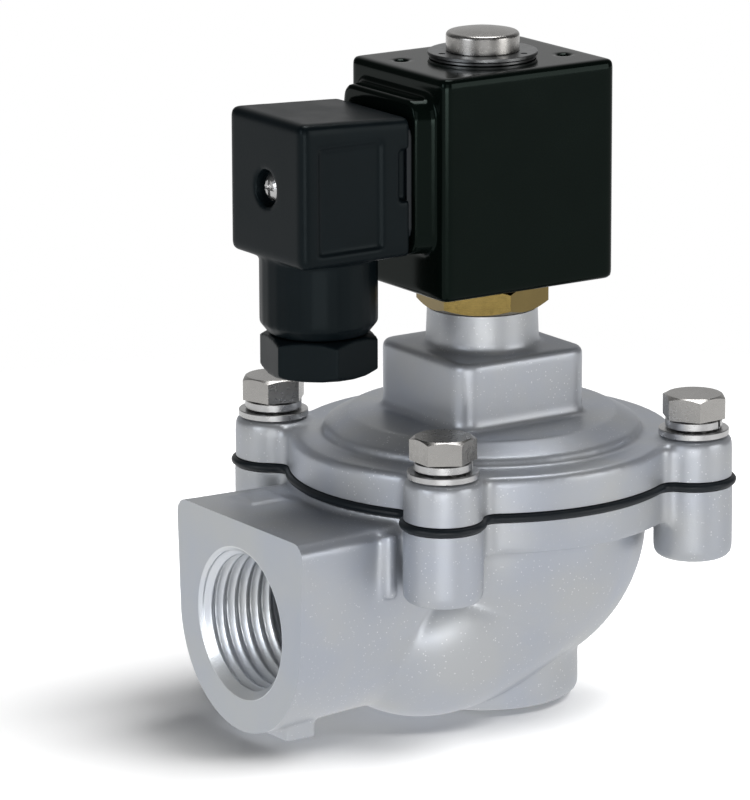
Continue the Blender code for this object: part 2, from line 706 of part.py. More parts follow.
def diaphragm_core(steel, zinc):
    top = RUBBER_Z + RUBBER_T + SEAT
    hole = RIVET_R + SLIP
    pivot = (0.0, 0.0, CORE_LOW_Z)
    upper = [(hole, top + PLATE_T), (PLATE_TOP_R - 0.8 * MM, top + PLATE_T)]
    upper += [(PLATE_TOP_R, top + PLATE_T - 0.6 * MM), (PLATE_TOP_R, top), (hole, top)]
    finish(turned("upper", upper, 24), "diaphragm_upper_plate", zinc, pivot=pivot)
    low = CORE_LOW_Z - SEAT
    lower = [(hole, low), (PLATE_LOW_R, low), (PLATE_LOW_R, low - PLATE_T + 0.6 * MM)]
    lower += [(PLATE_LOW_R - 0.8 * MM, low - PLATE_T), (hole, low - PLATE_T)]
    finish(turned("lower", lower, 20), "diaphragm_lower_plate", zinc, pivot=pivot)
    head = top + PLATE_T + SEAT
    base = low - PLATE_T - SEAT
    crown = RIVET_HEAD_R - 1.2 * MM
    rivet = [(0.0, head + RIVET_HEAD_T), (crown, head + RIVET_HEAD_T), (RIVET_HEAD_R, head + 0.6 * MM)]
    rivet += [(RIVET_HEAD_R, head), (RIVET_R, head), (RIVET_R, base), (RIVET_HEAD_R, base)]
    rivet += [(RIVET_HEAD_R, base - 0.8 * MM), (crown, base - RIVET_HEAD_T), (0.0, base - RIVET_HEAD_T)]
    finish(turned("rivet", rivet, 14), "diaphragm_rivet", steel, pivot=pivot)


def helix(radius, z0, z1, turns, steps):
    """Open coil spring line with one flat turn at each end."""
    points = []
    total = turns * steps
    for i in range(total + 1):
        t = i / total
        a = 2.0 * math.pi * turns * t
        share = min(max((t * turns - 0.75) / (turns - 1.5), 0.0), 1.0)
        points.append((radius * math.cos(a), radius * math.sin(a), z0 + (z1 - z0) * share))
    return points


def springs(mat):
    low = RUBBER_Z + RUBBER_T + SEAT + PLATE_T + SEAT + MAIN_WIRE_R
    high = COVER_Z + POCKET_H - SEAT - MAIN_WIRE_R
    main = wire("spring_line", helix(MAIN_SPRING_R, low, high, 5, 12), MAIN_WIRE_R, 1)
    finish(main, "main_spring", mat, smooth=60.0)
    low = PLUNGER_TOP_Z - PLUNGER_POCKET + SEAT + PLUNGER_WIRE_R
    high = CORE_Z - SEAT - PLUNGER_WIRE_R
    small = wire("small_line", helix(PLUNGER_SPRING_R, low, high, 5, 8), PLUNGER_WIRE_R, 1)
    finish(small, "plunger_spring", mat, smooth=60.0)


def cover(mat):
    outline = flange_outline(FLANGE_R, EAR_R, EAR_FILLET)
    blank = plate("cover_flange", [outline], COVER_Z - 3.0 * RIM_ROUND, RIM_Z)
    body = welded(bevel(blank, RIM_ROUND, 2, 60.0))
    reach = 2.0 * FLANGE_R
    cut(body, block("cover_underside", (-reach, -reach, COVER_Z - 5.0 * RIM_ROUND), (reach, reach, COVER_Z)))
    disc = [(0.0, PLATE_Z), (CONE_R, PLATE_Z), (DISC_R - 0.4 * MM, COVER_Z + DISC_H)]
    disc += [(DISC_R, COVER_Z + DISC_H - 0.5 * MM)]
    disc += [(DISC_R, COVER_Z + RIM_H - 1.4 * OVERLAP), (DISC_R - OVERLAP, COVER_Z + RIM_H - 3.0 * OVERLAP)]
    disc += [(0.0, COVER_Z + RIM_H - 3.0 * OVERLAP)]
    join(body, turned("disc", disc, 40))
    for i, ear in enumerate(EARS):
        pad = [(0.0, EAR_Z)]
        pad += arc((PAD_R - PAD_ROUND, EAR_Z - PAD_ROUND), PAD_ROUND, 0.5 * math.pi, 0.0, 2)
        pad += [(PAD_R, RIM_Z - 4.0 * OVERLAP), (0.0, RIM_Z - 4.0 * OVERLAP)]
        join(body, turned(f"ear_pad_{i}", pad, SMALL_ROUND, ear))
    low = (-BLOCK_HALF, -BLOCK_HALF, PLATE_Z - 2.0 * OVERLAP)
    tower = block("pilot_block", low, (BLOCK_HALF, BLOCK_HALF, BLOCK_Z), BLOCK_CORNER_R, 2, 3)
    bevel(tower, BLOCK_ROUND, 2, 60.0)
    join(body, tower)
    reach = BLOCK_HALF + SKIRT_OUT
    skirt = block("skirt", (-reach, -reach, PLATE_Z - OVERLAP), (reach, reach, PLATE_Z + SKIRT_H),
                  BLOCK_CORNER_R + SKIRT_OUT, 2, 3)
    bevel(skirt, 0.99 * SKIRT_OUT, 1, 60.0)
    join(body, skirt)
    neck = [(0.0, NECK_Z), (NECK_TOP_R - 0.4 * MM, NECK_Z), (NECK_TOP_R, NECK_Z - 0.4 * MM)]
    neck += [(NECK_R, BLOCK_Z + NECK_FILLET), (NECK_R + 0.3 * NECK_FILLET, BLOCK_Z + 0.3 * NECK_FILLET)]
    root = NECK_R + NECK_FILLET
    neck += [(root, BLOCK_Z), (root, BLOCK_Z - OVERLAP), (0.0, BLOCK_Z - OVERLAP)]
    join(body, turned("neck", neck, 28))
    cut(body, cover_cavity(), pilot_chamber(), orifice(), vent())
    cut(body, *bolt_holes("cover_hole", BOLT_R + SLIP, COVER_Z - OVERLAP, EAR_Z + OVERLAP))
    return finish(body, "cover", mat)


def cover_cavity():
    low = COVER_Z - OVERLAP
    profile = [(0.0, COVER_Z + POCKET_H), (POCKET_R, COVER_Z + POCKET_H), (POCKET_R, COVER_Z + CAVITY_H)]
    profile += [(CAVITY_TOP_R, COVER_Z + CAVITY_H), (CAVITY_TOP_R + 5.0 * MM, COVER_Z + CAVITY_H - 2.0 * MM)]
    profile += [(CAVITY_R, COVER_Z + 2.0 * MM), (CAVITY_R, low), (0.0, low)]
    return turned("cover_cavity", profile, ROUND)


def pilot_chamber():
    """Blind bore under the tube base with a small raised seat in its floor."""
    top = NECK_Z + OVERLAP
    recess = 2.3 * MM
    profile = [(0.0, top), (PILOT_R + 2.2 * MM, top), (PILOT_R + 2.2 * MM, NECK_Z - recess)]
    profile += [(PILOT_R, NECK_Z - recess), (PILOT_R, PILOT_FLOOR_Z)]
    profile += [(PILOT_SEAT_R + 0.6 * MM, PILOT_FLOOR_Z), (PILOT_SEAT_R, SEAT_TOP_Z), (0.0, SEAT_TOP_Z)]
    return turned("pilot_chamber", profile, 24)


def orifice():
    low = COVER_Z + POCKET_H - OVERLAP
    return cylinder("orifice", ORIFICE_R, low, SEAT_TOP_Z + OVERLAP, (0.0, 0.0), 12)


def vent():
    """Exhaust hole from the pilot chamber to the back of the block."""
    reach = BLOCK_HALF + SKIRT_OUT + OVERLAP
    profile = [(0.0, reach), (VENT_R, reach), (VENT_R, 0.7 * PILOT_R), (0.0, 0.7 * PILOT_R)]
    hole = turned("vent", profile, 14)
    hole.rotation_euler = (math.radians(-90.0), 0.0, 0.0)
    hole.location = (0.0, 0.0, PILOT_FLOOR_Z + VENT_R)
    return hole


def hexagon(across_flats, turn, center=(0.0, 0.0)):
    radius = across_flats / math.sqrt(3.0)
    return [(center[0] + radius * math.cos(turn + math.pi * i / 3.0),
             center[1] + radius * math.sin(turn + math.pi * i / 3.0)) for i in range(6)]


def hex_head(name, across_flats, z0, z1, turn, center, chamfer_top, chamfer_low):
    """Hexagon whose corners are turned down at its ends."""
    hexa = plate(name, [hexagon(across_flats, turn, center)], z0, z1)
    full = across_flats / math.sqrt(3.0) + 0.2 * MM
    slope = 0.55 * (full - 0.5 * across_flats)
    flat = 0.5 * across_flats - 0.3 * MM
    top = z1 - (slope if chamfer_top else -OVERLAP)
    low = z0 + (slope if chamfer_low else -OVERLAP)
    profile = [(0.0, z1 + OVERLAP)]
    if chamfer_top:
        profile += [(flat, z1 + 0.01 * MM), (full, top)]
    else:
        profile += [(full, z1 + OVERLAP)]
    if chamfer_low:
        profile += [(full, low), (flat, z0 - 0.01 * MM)]
    else:
        profile += [(full, z0 - OVERLAP)]
    profile += [(0.0, z0 - OVERLAP)]
    return combine(hexa, turned(name + "_turning", profile, 18, center), "INTERSECT")


def cover_bolts(mat):
    """Hexagon screw, split washer and flat washer on every ear."""
    turns = (math.radians(29.0), math.radians(4.0), math.radians(17.0), math.radians(48.0))
    for i, ear in enumerate(EARS):
        label = ("front", "right", "back", "left")[i]
        z = EAR_Z + SEAT
        hole = BOLT_R + SLIP
        ring = [(hole, z + WASHER_T), (WASHER_R, z + WASHER_T), (WASHER_R, z), (hole, z)]
        finish(turned("flat", ring, 20, ear), f"flat_washer_{label}", mat)
        z += WASHER_T + SEAT
        turn = turns[i] - 1.2
        finish(split_washer(ear, z, turn), f"split_washer_{label}", mat, smooth=40.0)
        z += SPLIT_WASHER_T + SEAT
        head = hex_head("head", BOLT_HEAD_AF, z, z + BOLT_HEAD_T, turns[i], ear, True, False)
        tip = EAR_Z + SEAT + WASHER_T - BOLT_LEN
        shank = [(0.0, z + OVERLAP), (BOLT_R, z + OVERLAP), (BOLT_R, tip + BOLT_TIP_CHAMFER)]
        shank += [(BOLT_R - BOLT_TIP_CHAMFER, tip), (0.0, tip)]
        join(head, turned("shank", shank, 12, ear))
        finish(head, f"cover_bolt_{label}", mat)


def split_washer(center, z, turn):
    """Spring washer: a square ring cut by one slanted slot."""
    hole = BOLT_R + SLIP
    gap = 0.5 * SPLIT_WASHER_SLOT / SPLIT_WASHER_R
    outer = arc(center, SPLIT_WASHER_R, turn + gap, turn + 2.0 * math.pi - gap, 18)
    inner = arc(center, hole, turn + 2.0 * math.pi - 1.6 * gap, turn + 1.6 * gap, 18)
    return plate("split_ring", [outer + inner], z, z + SPLIT_WASHER_T)


def brass_base(mat):
    """Hexagon base of the pilot tube with the spigot that screws into the neck."""
    turn = math.radians(HEX_TURN_DEG)
    base = hex_head("base_hex", HEX_AF, HEX_Z, HEX_TOP_Z, turn, (0.0, 0.0), True, True)
    foot = HEX_Z - SPIGOT_LEN
    spigot = [(0.0, HEX_Z + OVERLAP), (SPIGOT_R, HEX_Z + OVERLAP), (SPIGOT_R, foot + 0.6 * MM)]
    spigot += [(SPIGOT_R - 0.5 * MM, foot), (0.0, foot)]
    join(base, turned("spigot", spigot, 20))
    socket = TUBE_Z - SEAT
    way = TUBE_BORE_R + RUN
    bore = [(0.0, HEX_TOP_Z + OVERLAP), (TUBE_R + SLIP, HEX_TOP_Z + OVERLAP), (TUBE_R + SLIP, socket)]
    bore += [(way, socket), (way, foot - OVERLAP), (0.0, foot - OVERLAP)]
    cut(base, turned("base_bore", bore, 24))
    return finish(base, "tube_base", mat)


def base_ring(mat):
    radius = 0.5 * (SPIGOT_R + PILOT_R + 2.2 * MM)
    z = NECK_Z - 1.15 * MM
    profile = []
    for i in range(6):
        a = math.radians(120.0 - 60.0 * i)
        profile.append((radius + RING_WIRE * math.cos(a), z + RING_WIRE * math.sin(a)))
    return finish(turned("ring", profile, 20), "tube_base_o_ring", mat, smooth=60.0)


def tube(mat):
    """Closed tube with a clip groove and a domed end, seen as the cap above the coil."""
    edge = 0.9 * MM
    profile = [(0.0, CAP_TOP_Z + CAP_DOME), (0.35 * TUBE_R, CAP_TOP_Z + 0.88 * CAP_DOME)]
    profile += [(0.65 * TUBE_R, CAP_TOP_Z + 0.52 * CAP_DOME), (TUBE_R - edge, CAP_TOP_Z)]
    profile += [(TUBE_R - 0.3 * edge, CAP_TOP_Z - 0.3 * edge), (TUBE_R, CAP_TOP_Z - edge)]
    profile += [(TUBE_R, CAP_Z), (GROOVE_R, CAP_Z), (GROOVE_R, GROOVE_Z), (TUBE_R, GROOVE_Z)]
    profile += [(TUBE_R, TUBE_Z), (TUBE_BORE_R, TUBE_Z), (TUBE_BORE_R, TUBE_BORE_TOP_Z)]
    profile += [(0.0, TUBE_BORE_TOP_Z)]
    return finish(turned("tube", profile, 24), "pilot_tube", mat)


def core_and_plunger(steel, rubber):
    top = TUBE_BORE_TOP_Z - SEAT
    core = [(0.0, top), (TUBE_BORE_R - SLIP, top), (TUBE_BORE_R - SLIP, CORE_Z), (0.0, CORE_Z)]
    finish(turned("core", core, 20), "fixed_core", steel)
    radius = TUBE_BORE_R - RUN
    pivot = (0.0, 0.0, PLUNGER_Z)
    body = [(0.0, PLUNGER_TOP_Z - PLUNGER_POCKET), (PLUNGER_POCKET_R, PLUNGER_TOP_Z - PLUNGER_POCKET)]
    body += [(PLUNGER_POCKET_R, PLUNGER_TOP_Z), (radius - 0.5 * MM, PLUNGER_TOP_Z)]
    body += [(radius, PLUNGER_TOP_Z - 0.5 * MM)]
    body += [(radius, PLUNGER_Z + 3.0 * MM), (PLUNGER_NOSE_R, PLUNGER_Z + 1.5 * MM)]
    body += [(PLUNGER_NOSE_R, PLUNGER_Z)]
    pocket = SEAL_Z + SEAL_T + SEAT
    body += [(SEAL_R + SLIP, PLUNGER_Z), (SEAL_R + SLIP, pocket), (0.0, pocket)]
    finish(turned("plunger", body, 24), "plunger", steel, pivot=pivot)
    seal = [(0.0, SEAL_Z + SEAL_T), (SEAL_R, SEAL_Z + SEAL_T), (SEAL_R, SEAL_Z), (0.0, SEAL_Z)]
    finish(turned("seal", seal, 16), "plunger_seal", rubber, pivot=pivot)


def coil_body(mat):
    """Moulded coil with its tube hole, moulding marks and the raised terminal base."""
    low = (-COIL_HALF_X, -COIL_HALF_Y, COIL_Z)
    body = block("coil_block", low, (COIL_HALF_X, COIL_HALF_Y, COIL_TOP_Z), COIL_CORNER_R, 2, 4)
    bevel(body, COIL_ROUND, 2, 60.0)
    join(body, terminal_base())
    cut(body, cylinder("coil_bore", TUBE_R + RUN, COIL_Z - OVERLAP, COIL_TOP_Z + OVERLAP, (0.0, 0.0), 32))
    for i, (sx, sy) in enumerate(((-1.0, 1.0), (1.0, -1.0))):
        spot = (sx * MARK_X, sy * MARK_Y)
        cut(body, cylinder(f"mark_{i}", MARK_R, COIL_TOP_Z - MARK_DEPTH, COIL_TOP_Z + OVERLAP, spot, 16))
    cut(body, screw_way("screw_socket", SCREW_R + SLIP, TERM_X - OVERLAP, TERM_X + SCREW_ENGAGE + 1.0 * MM))
    for i, (y, z, half_y, half_z) in enumerate(blade_places()):
        slot = block(f"blade_root_{i}", (TERM_X - OVERLAP, y - half_y - SLIP, z - half_z - SLIP),
                     (TERM_X + 2.2 * MM, y + half_y + SLIP, z + half_z + SLIP))
        cut(body, slot)
    return finish(body, "coil", mat, smooth=35.0)


def screw_way(name, radius, x0, x1):
    """Round hole along X on the connector screw's axis."""
    hole = turned(name, [(0.0, -x0), (radius, -x0), (radius, -x1), (0.0, -x1)], 16, axis="X")
    hole.location = (0.0, 0.0, PLUG_MID_Z)
    return hole


def terminal_base():
    """Raised base for the connector; its sides draw in towards the face."""
    root_x = -COIL_HALF_X + 2.0 * OVERLAP
    base = block("terminal_base", (TERM_X, -TERM_HALF_Y, COIL_Z + TERM_LOW),
                 (root_x, TERM_HALF_Y, COIL_Z + TERM_HIGH), TERM_CORNER_R, 0, 4)
    shrink = 1.0 - TERM_TAPER / TERM_HALF_Y
    for vert in base.data.vertices:
        if vert.co.x < 0.5 * (TERM_X + root_x):
            vert.co.y *= shrink
    return base


def blade_places():
    """Centre and half sizes of the two flat terminals and the earth terminal."""
    half_w = 0.5 * BLADE_W
    half_t = 0.5 * BLADE_T
    places = [(-BLADE_SPREAD, PLUG_MID_Z, half_t, half_w), (BLADE_SPREAD, PLUG_MID_Z, half_t, half_w)]
    places.append((0.0, PLUG_MID_Z - EARTH_DROP, half_w, half_t))
    return places


def blades(mat):
    names = ("terminal_blade_1", "terminal_blade_2", "earth_blade")
    for name, (y, z, half_y, half_z) in zip(names, blade_places()):
        low = (TERM_X - BLADE_OUT, y - half_y, z - half_z)
        high = (TERM_X + 2.0 * MM, y + half_y, z + half_z)
        finish(block(name + "_block", low, high), name, mat)


def gasket(mat):
    """Flat seal between terminal base and connector, open for terminals and screw."""
    bm_low = (GASKET_X, -GASKET_HALF, PLUG_MID_Z - GASKET_HALF)
    bm_high = (GASKET_X + GASKET_T, GASKET_HALF, PLUG_MID_Z + GASKET_HALF)
    seal = block("gasket_block", bm_low, bm_high, 3.0 * MM, 0, 3)
    for i, (y, z, half_y, half_z) in enumerate(blade_places()):
        cut(seal, block(f"gasket_slot_{i}", (GASKET_X - OVERLAP, y - half_y - SLIP, z - half_z - SLIP),
                        (GASKET_X + GASKET_T + OVERLAP, y + half_y + SLIP, z + half_z + SLIP)))
    cut(seal, screw_way("gasket_hole", SCREW_R + SLIP, GASKET_X - OVERLAP, GASKET_X + GASKET_T + OVERLAP))
    return finish(seal, "connector_gasket", mat)


def connector(mat):
    """Connector shell: sloping top, recessed side panels, spout, hollow for the insert."""
    low = (PLUG_END_X, -PLUG_HALF_Y, PLUG_LOW_Z)
    high = (PLUG_X, PLUG_HALF_Y, COIL_Z + PLUG_HIGH_FRONT)
    bm = bmesh.new()
    bmesh.ops.create_cube(bm, size=1.0)
    for vert in bm.verts:
        for k in range(3):
            vert.co[k] = low[k] if vert.co[k] < 0.0 else high[k]
    for vert in bm.verts:
        if vert.co.x > 0.5 * (PLUG_X + PLUG_END_X) and vert.co.z > PLUG_MID_Z:
            vert.co.z = COIL_Z + PLUG_HIGH_REAR
    edges = []
    for edge in bm.edges:
        at_rear = all(abs(v.co.x - PLUG_X) < 1e-6 for v in edge.verts)
        if not at_rear:
            edges.append(edge)
    bmesh.ops.bevel(bm, geom=edges, offset=PLUG_ROUND, segments=3, affect="EDGES", profile=0.5)
    shell = from_bmesh("plug_block", bm)
    root = PLUG_LOW_Z + 4.0 * MM
    spout = [(0.0, root), (SPOUT_R, root), (SPOUT_R, SPOUT_END_Z + SPOUT_CHAMFER)]
    spout += [(SPOUT_R - 0.8 * SPOUT_CHAMFER, SPOUT_END_Z), (0.0, SPOUT_END_Z)]
    join(shell, turned("spout", spout, 28, (SPOUT_X, 0.0)))
    front = PLUG_END_X + 2.0 * PLUG_WALL + SCREW_HOLE_DEPTH
    half = PLUG_HALF_Y - PLUG_WALL
    hollow = block("plug_hollow", (front, -half, PLUG_LOW_Z + PLUG_WALL),
                   (PLUG_X + OVERLAP, half, COIL_Z + PLUG_HIGH_REAR - PLUG_WALL), 2.0 * MM, 0, 3)
    way_top = PLUG_LOW_Z + 3.0 * PLUG_WALL
    way = cylinder("cable_way", SPOUT_BORE_R, SPOUT_END_Z - OVERLAP, way_top, (SPOUT_X, 0.0), 20)
    cut(shell, hollow, way)
    head_seat = PLUG_END_X + SCREW_HOLE_DEPTH
    cut(shell, screw_way("head_hole", SCREW_HOLE_R, PLUG_END_X - OVERLAP, head_seat))
    cut(shell, screw_way("shank_hole", SCREW_R + SLIP, head_seat - OVERLAP, PLUG_X))
    mid_x = 0.5 * (PLUG_X + PLUG_END_X) - PANEL_SHIFT
    for i, side in enumerate((-1.0, 1.0)):
        y0 = side * (PLUG_HALF_Y - PANEL_DEPTH)
        y1 = side * (PLUG_HALF_Y + OVERLAP)
        mid_z = PLUG_MID_Z - PANEL_SHIFT
        panel = block(f"panel_{i}", (mid_x - 0.5 * PANEL_LEN, min(y0, y1), mid_z - 0.5 * PANEL_H),
                      (mid_x + 0.5 * PANEL_LEN, max(y0, y1), mid_z + 0.5 * PANEL_H))
        y0 = side * (PLUG_HALF_Y - SLOT_DEPTH)
        slot = block(f"side_slot_{i}", (PLUG_X - SLOT_LEN, min(y0, y1), PLUG_MID_Z - 0.3 * SLOT_H),
                     (PLUG_X + OVERLAP, max(y0, y1), PLUG_MID_Z + 0.7 * SLOT_H))
        cut(shell, panel, slot)
    return finish(shell, "connector_shell", mat, smooth=35.0)


def insert(mat):
    """Terminal carrier inside the connector, with sockets for the blades."""
    wall = PLUG_WALL + SLIP
    rear = PLUG_X - 2.0 * SEAT
    front = rear - INSERT_T
    half_z = COIL_Z + PLUG_HIGH_REAR - PLUG_WALL - 2.0 * SLIP - PLUG_MID_Z
    carrier = block("insert_block", (front, -PLUG_HALF_Y + wall, PLUG_MID_Z - half_z),
                    (rear, PLUG_HALF_Y - wall, PLUG_MID_Z + half_z), 2.3 * MM, 0, 3)
    for i, (y, z, half_y, half_z) in enumerate(blade_places()):
        cut(carrier, block(f"socket_{i}", (front - OVERLAP, y - half_y - SLIP, z - half_z - SLIP),
                           (PLUG_X + OVERLAP, y + half_y + SLIP, z + half_z + SLIP)))
    cut(carrier, screw_way("insert_hole", SCREW_R + SLIP, front - OVERLAP, rear + OVERLAP))
    return finish(carrier, "connector_insert", mat)


def connector_screw(mat):
    """Cross-head screw that holds connector and gasket to the coil."""
    seat = -PLUG_END_X - SCREW_HOLE_DEPTH + SEAT
    tip = -TERM_X - SCREW_ENGAGE
    profile = [(0.0, seat + SCREW_HEAD_T), (0.6 * SCREW_HEAD_R, seat + 0.92 * SCREW_HEAD_T)]
    profile += [(SCREW_HEAD_R, seat + 0.5 * SCREW_HEAD_T), (SCREW_HEAD_R, seat)]
    profile += [(SCREW_R, seat), (SCREW_R, tip), (0.0, tip)]
    screw = turned("screw", profile, 20, axis="X")
    screw.location = (0.0, 0.0, PLUG_MID_Z)
    face = -seat - SCREW_HEAD_T
    for i, (w, h) in enumerate(((CROSS_W, CROSS_L), (CROSS_L, CROSS_W))):
        low = (face - OVERLAP, -0.5 * w, PLUG_MID_Z - 0.5 * h)
        high = (face + CROSS_DEPTH, 0.5 * w, PLUG_MID_Z + 0.5 * h)
        cut(screw, block(f"cross_{i}", low, high))
    return finish(screw, "connector_screw", mat)


def gland(plastic, rubber, steel):
    """Cable gland: hexagon nut with a thrust ring and a rubber seal in the spout."""
    center = (SPOUT_X, 0.0)
    top = SPOUT_END_Z - SEAT
    nut = hex_head("nut_hex", NUT_AF, NUT_Z, top, math.radians(-45.0), center, True, True)
    spigot = [(0.0, top + NUT_SPIGOT), (NUT_SPIGOT_R - 0.5 * MM, top + NUT_SPIGOT)]
    spigot += [(NUT_SPIGOT_R, top + NUT_SPIGOT - 0.5 * MM), (NUT_SPIGOT_R, top - OVERLAP)]
    spigot += [(0.0, top - OVERLAP)]
    join(nut, turned("nut_spigot", spigot, 20, center))
    cut(nut, cylinder("nut_hole", NUT_HOLE_R, NUT_Z - OVERLAP, top + NUT_SPIGOT + OVERLAP, center, 20))
    finish(nut, "gland_nut", plastic)
    z = top + NUT_SPIGOT + SEAT
    reach = NUT_SPIGOT_R - 0.2 * MM
    ring = [(GLAND_HOLE_R, z + GLAND_RING_T), (reach, z + GLAND_RING_T), (reach, z), (GLAND_HOLE_R, z)]
    finish(turned("ring", ring, 18, center), "gland_ring", steel)
    z += GLAND_RING_T + SEAT
    seal = [(GLAND_HOLE_R, z + GLAND_SEAL_T), (reach - 1.0 * MM, z + GLAND_SEAL_T)]
    seal += [(reach, z + GLAND_SEAL_T - 1.5 * MM), (reach, z), (GLAND_HOLE_R, z)]
    finish(turned("grommet", seal, 18, center), "gland_seal", rubber)


def clip(mat):
    """Plain washer and slotted clip that lock the coil on the tube."""
    ring = [(TUBE_R + SLIP, CLIP_WASHER_Z + CLIP_WASHER_T), (CLIP_WASHER_R, CLIP_WASHER_Z + CLIP_WASHER_T)]
    ring += [(CLIP_WASHER_R, CLIP_WASHER_Z), (TUBE_R + SLIP, CLIP_WASHER_Z)]
    finish(turned("ring", ring, 28), "clip_washer", mat)
    disc = plate("clip_disc", [circle((0.0, 0.0), CLIP_R, 32)], CLIP_Z, CLIP_Z + CLIP_T)
    eye = cylinder("clip_eye", GROOVE_R + SLIP, CLIP_Z - OVERLAP, CLIP_Z + OVERLAP + CLIP_T, (0.0, 0.0), 28)
    half = 0.5 * CLIP_SLOT_W
    low = CLIP_Z - OVERLAP
    high = CLIP_Z + CLIP_T + OVERLAP
    mouth = block("clip_mouth", (0.0, -half, low), (2.0 * CLIP_R, half, high))
    mouth.rotation_euler = (0.0, 0.0, math.radians(56.0))
    cut(disc, eye, mouth)
    for i, angle in enumerate((-60.0, 172.0)):
        a = math.radians(angle)
        spot = (CLIP_HOLE_AT * math.cos(a), CLIP_HOLE_AT * math.sin(a))
        cut(disc, cylinder(f"clip_hole_{i}", CLIP_HOLE_R, low, high, spot, 14))
    return finish(disc, "coil_clip", mat)


def main():
    clear_file()
    collection(PARTS)
    collection(CUTTERS)
    aluminium = material("cast_aluminium", (0.62, 0.63, 0.65), 0.9, 0.42)
    aluminium_cover = material("cast_aluminium_cover", (0.62, 0.63, 0.65), 0.9, 0.42)
    rubber = material("black_rubber", (0.03, 0.032, 0.034), 0.0, 0.6)
    stainless = material("stainless", (0.58, 0.57, 0.55), 1.0, 0.28)
    zinc = material("zinc_plate", (0.66, 0.67, 0.68), 1.0, 0.35)
    brass = material("brass", (0.72, 0.56, 0.25), 1.0, 0.3)
    coil_black = material("coil_black", (0.018, 0.019, 0.02), 0.0, 0.22)
    plug_black = material("plug_black", (0.03, 0.031, 0.032), 0.0, 0.5)
    valve_body(aluminium)
    cover(aluminium_cover)
    diaphragm(rubber)
    diaphragm_core(stainless, zinc)
    springs(stainless)
    cover_bolts(stainless)
    brass_base(brass)
    base_ring(rubber)
    tube(stainless)
    core_and_plunger(stainless, rubber)
    coil_body(coil_black)
    blades(zinc)
    gasket(rubber)
    connector(plug_black)
    insert(plug_black)
    connector_screw(zinc)
    gland(plug_black, rubber, zinc)
    clip(stainless)
    for obj in bpy.data.collections[CUTTERS].objects:
        obj.hide_render = True
        obj.display_type = "WIRE"


main()
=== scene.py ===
"""Looks of the dust collector pulse valve: camera, light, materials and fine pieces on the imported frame."""
import json
import math

import bmesh
import bpy
from mathutils import Matrix, Vector

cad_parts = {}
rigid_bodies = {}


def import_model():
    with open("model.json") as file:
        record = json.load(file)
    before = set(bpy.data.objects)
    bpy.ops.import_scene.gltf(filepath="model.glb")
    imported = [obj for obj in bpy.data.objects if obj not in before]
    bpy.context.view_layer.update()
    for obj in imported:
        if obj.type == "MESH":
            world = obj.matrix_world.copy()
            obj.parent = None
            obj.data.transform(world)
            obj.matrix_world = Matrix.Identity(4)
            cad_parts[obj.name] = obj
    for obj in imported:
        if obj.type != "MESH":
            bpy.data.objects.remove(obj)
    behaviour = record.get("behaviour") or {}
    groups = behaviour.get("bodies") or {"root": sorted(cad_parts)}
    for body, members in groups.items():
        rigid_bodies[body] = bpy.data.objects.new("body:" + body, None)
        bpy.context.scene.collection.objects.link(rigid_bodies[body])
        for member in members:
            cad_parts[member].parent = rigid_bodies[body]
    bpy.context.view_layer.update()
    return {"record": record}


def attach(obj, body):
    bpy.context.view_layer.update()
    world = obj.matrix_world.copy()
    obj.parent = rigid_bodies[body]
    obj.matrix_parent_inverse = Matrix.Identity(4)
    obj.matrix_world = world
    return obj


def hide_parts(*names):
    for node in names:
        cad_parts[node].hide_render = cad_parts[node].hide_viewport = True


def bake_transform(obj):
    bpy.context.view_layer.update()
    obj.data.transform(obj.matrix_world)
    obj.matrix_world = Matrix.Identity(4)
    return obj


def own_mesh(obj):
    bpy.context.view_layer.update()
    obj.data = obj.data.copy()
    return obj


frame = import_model()
MM = 0.001

# camera, from the fit of the photograph's outlines: angles in degrees, lengths in metres
VIEW_AZIMUTH = -33.76
VIEW_PITCH = 14.01
VIEW_ROLL = -0.19
VIEW_AIM_SIDE = -24.44 * MM
VIEW_AIM_Z = 67.69 * MM
VIEW_DISTANCE = 1282.0 * MM
FOCAL_PX = 5620.5
PICTURE_LONG_SIDE_PX = 800.0

# levels and shared sizes of the solids
SPLIT_Z = 50.5 * MM
COVER_Z = 52.8 * MM
FLANGE_R = 44.2 * MM
BOLT_CIRCLE_R = FLANGE_R + 4.5 * MM
EAR_R = 8.8 * MM
EAR_FILLET = 3.6 * MM
BOLT_HOLE_R = 4.3 * MM
OVERRUN = 2.0 * MM
FAR = 0.2
TURNED_STEPS = 96

# body casting
FLANGE_T = 7.4 * MM
BOWL_R = 37.6 * MM
BOWL_DROP = 9.4 * MM
BOWL_FLARE = 2.0 * MM
BOWL_WALL = 4.6 * MM
LOBE_X = 4.1 * MM
LOBE_Z = 25.9 * MM
LOBE_HALF_LEN = 39.6 * MM
LOBE_HALF_W = 31.9 * MM
LOBE_HALF_H = 20.9 * MM
LOBE_TILT_DEG = 24.0
LOBE_POWER = 2.6
OUTLET_BOSS_R = 22.1 * MM
OUTLET_BOSS_ROUND = 1.5 * MM
BOSS_R = 9.0 * MM
BOSS_T = 16.8 * MM
BOSS_ROUND = 2.2 * MM
BOLT_HOLE_FLOOR = 3.0 * MM
INLET_X = 66.0 * MM
INLET_Z = 25.5 * MM
INLET_HALF_W = 26.0 * MM
INLET_LOW_R = 25.0 * MM
INLET_TOP_Z = 49.2 * MM
INLET_TOP_CHAMFER = 2.2 * MM
INLET_NECK_X = 40.0 * MM
INLET_NECK_HALF_W = 24.4 * MM
INLET_LOW_LEAN = 7.0
INLET_BORE_LEN = INLET_X - 20.0 * MM
RIB_R = 2.0 * MM
RIB_T = 17.0 * MM
RIB_OUT = 8.0 * MM
RIB_IN = 9.8 * MM
RIB_DROP = 1.0 * MM
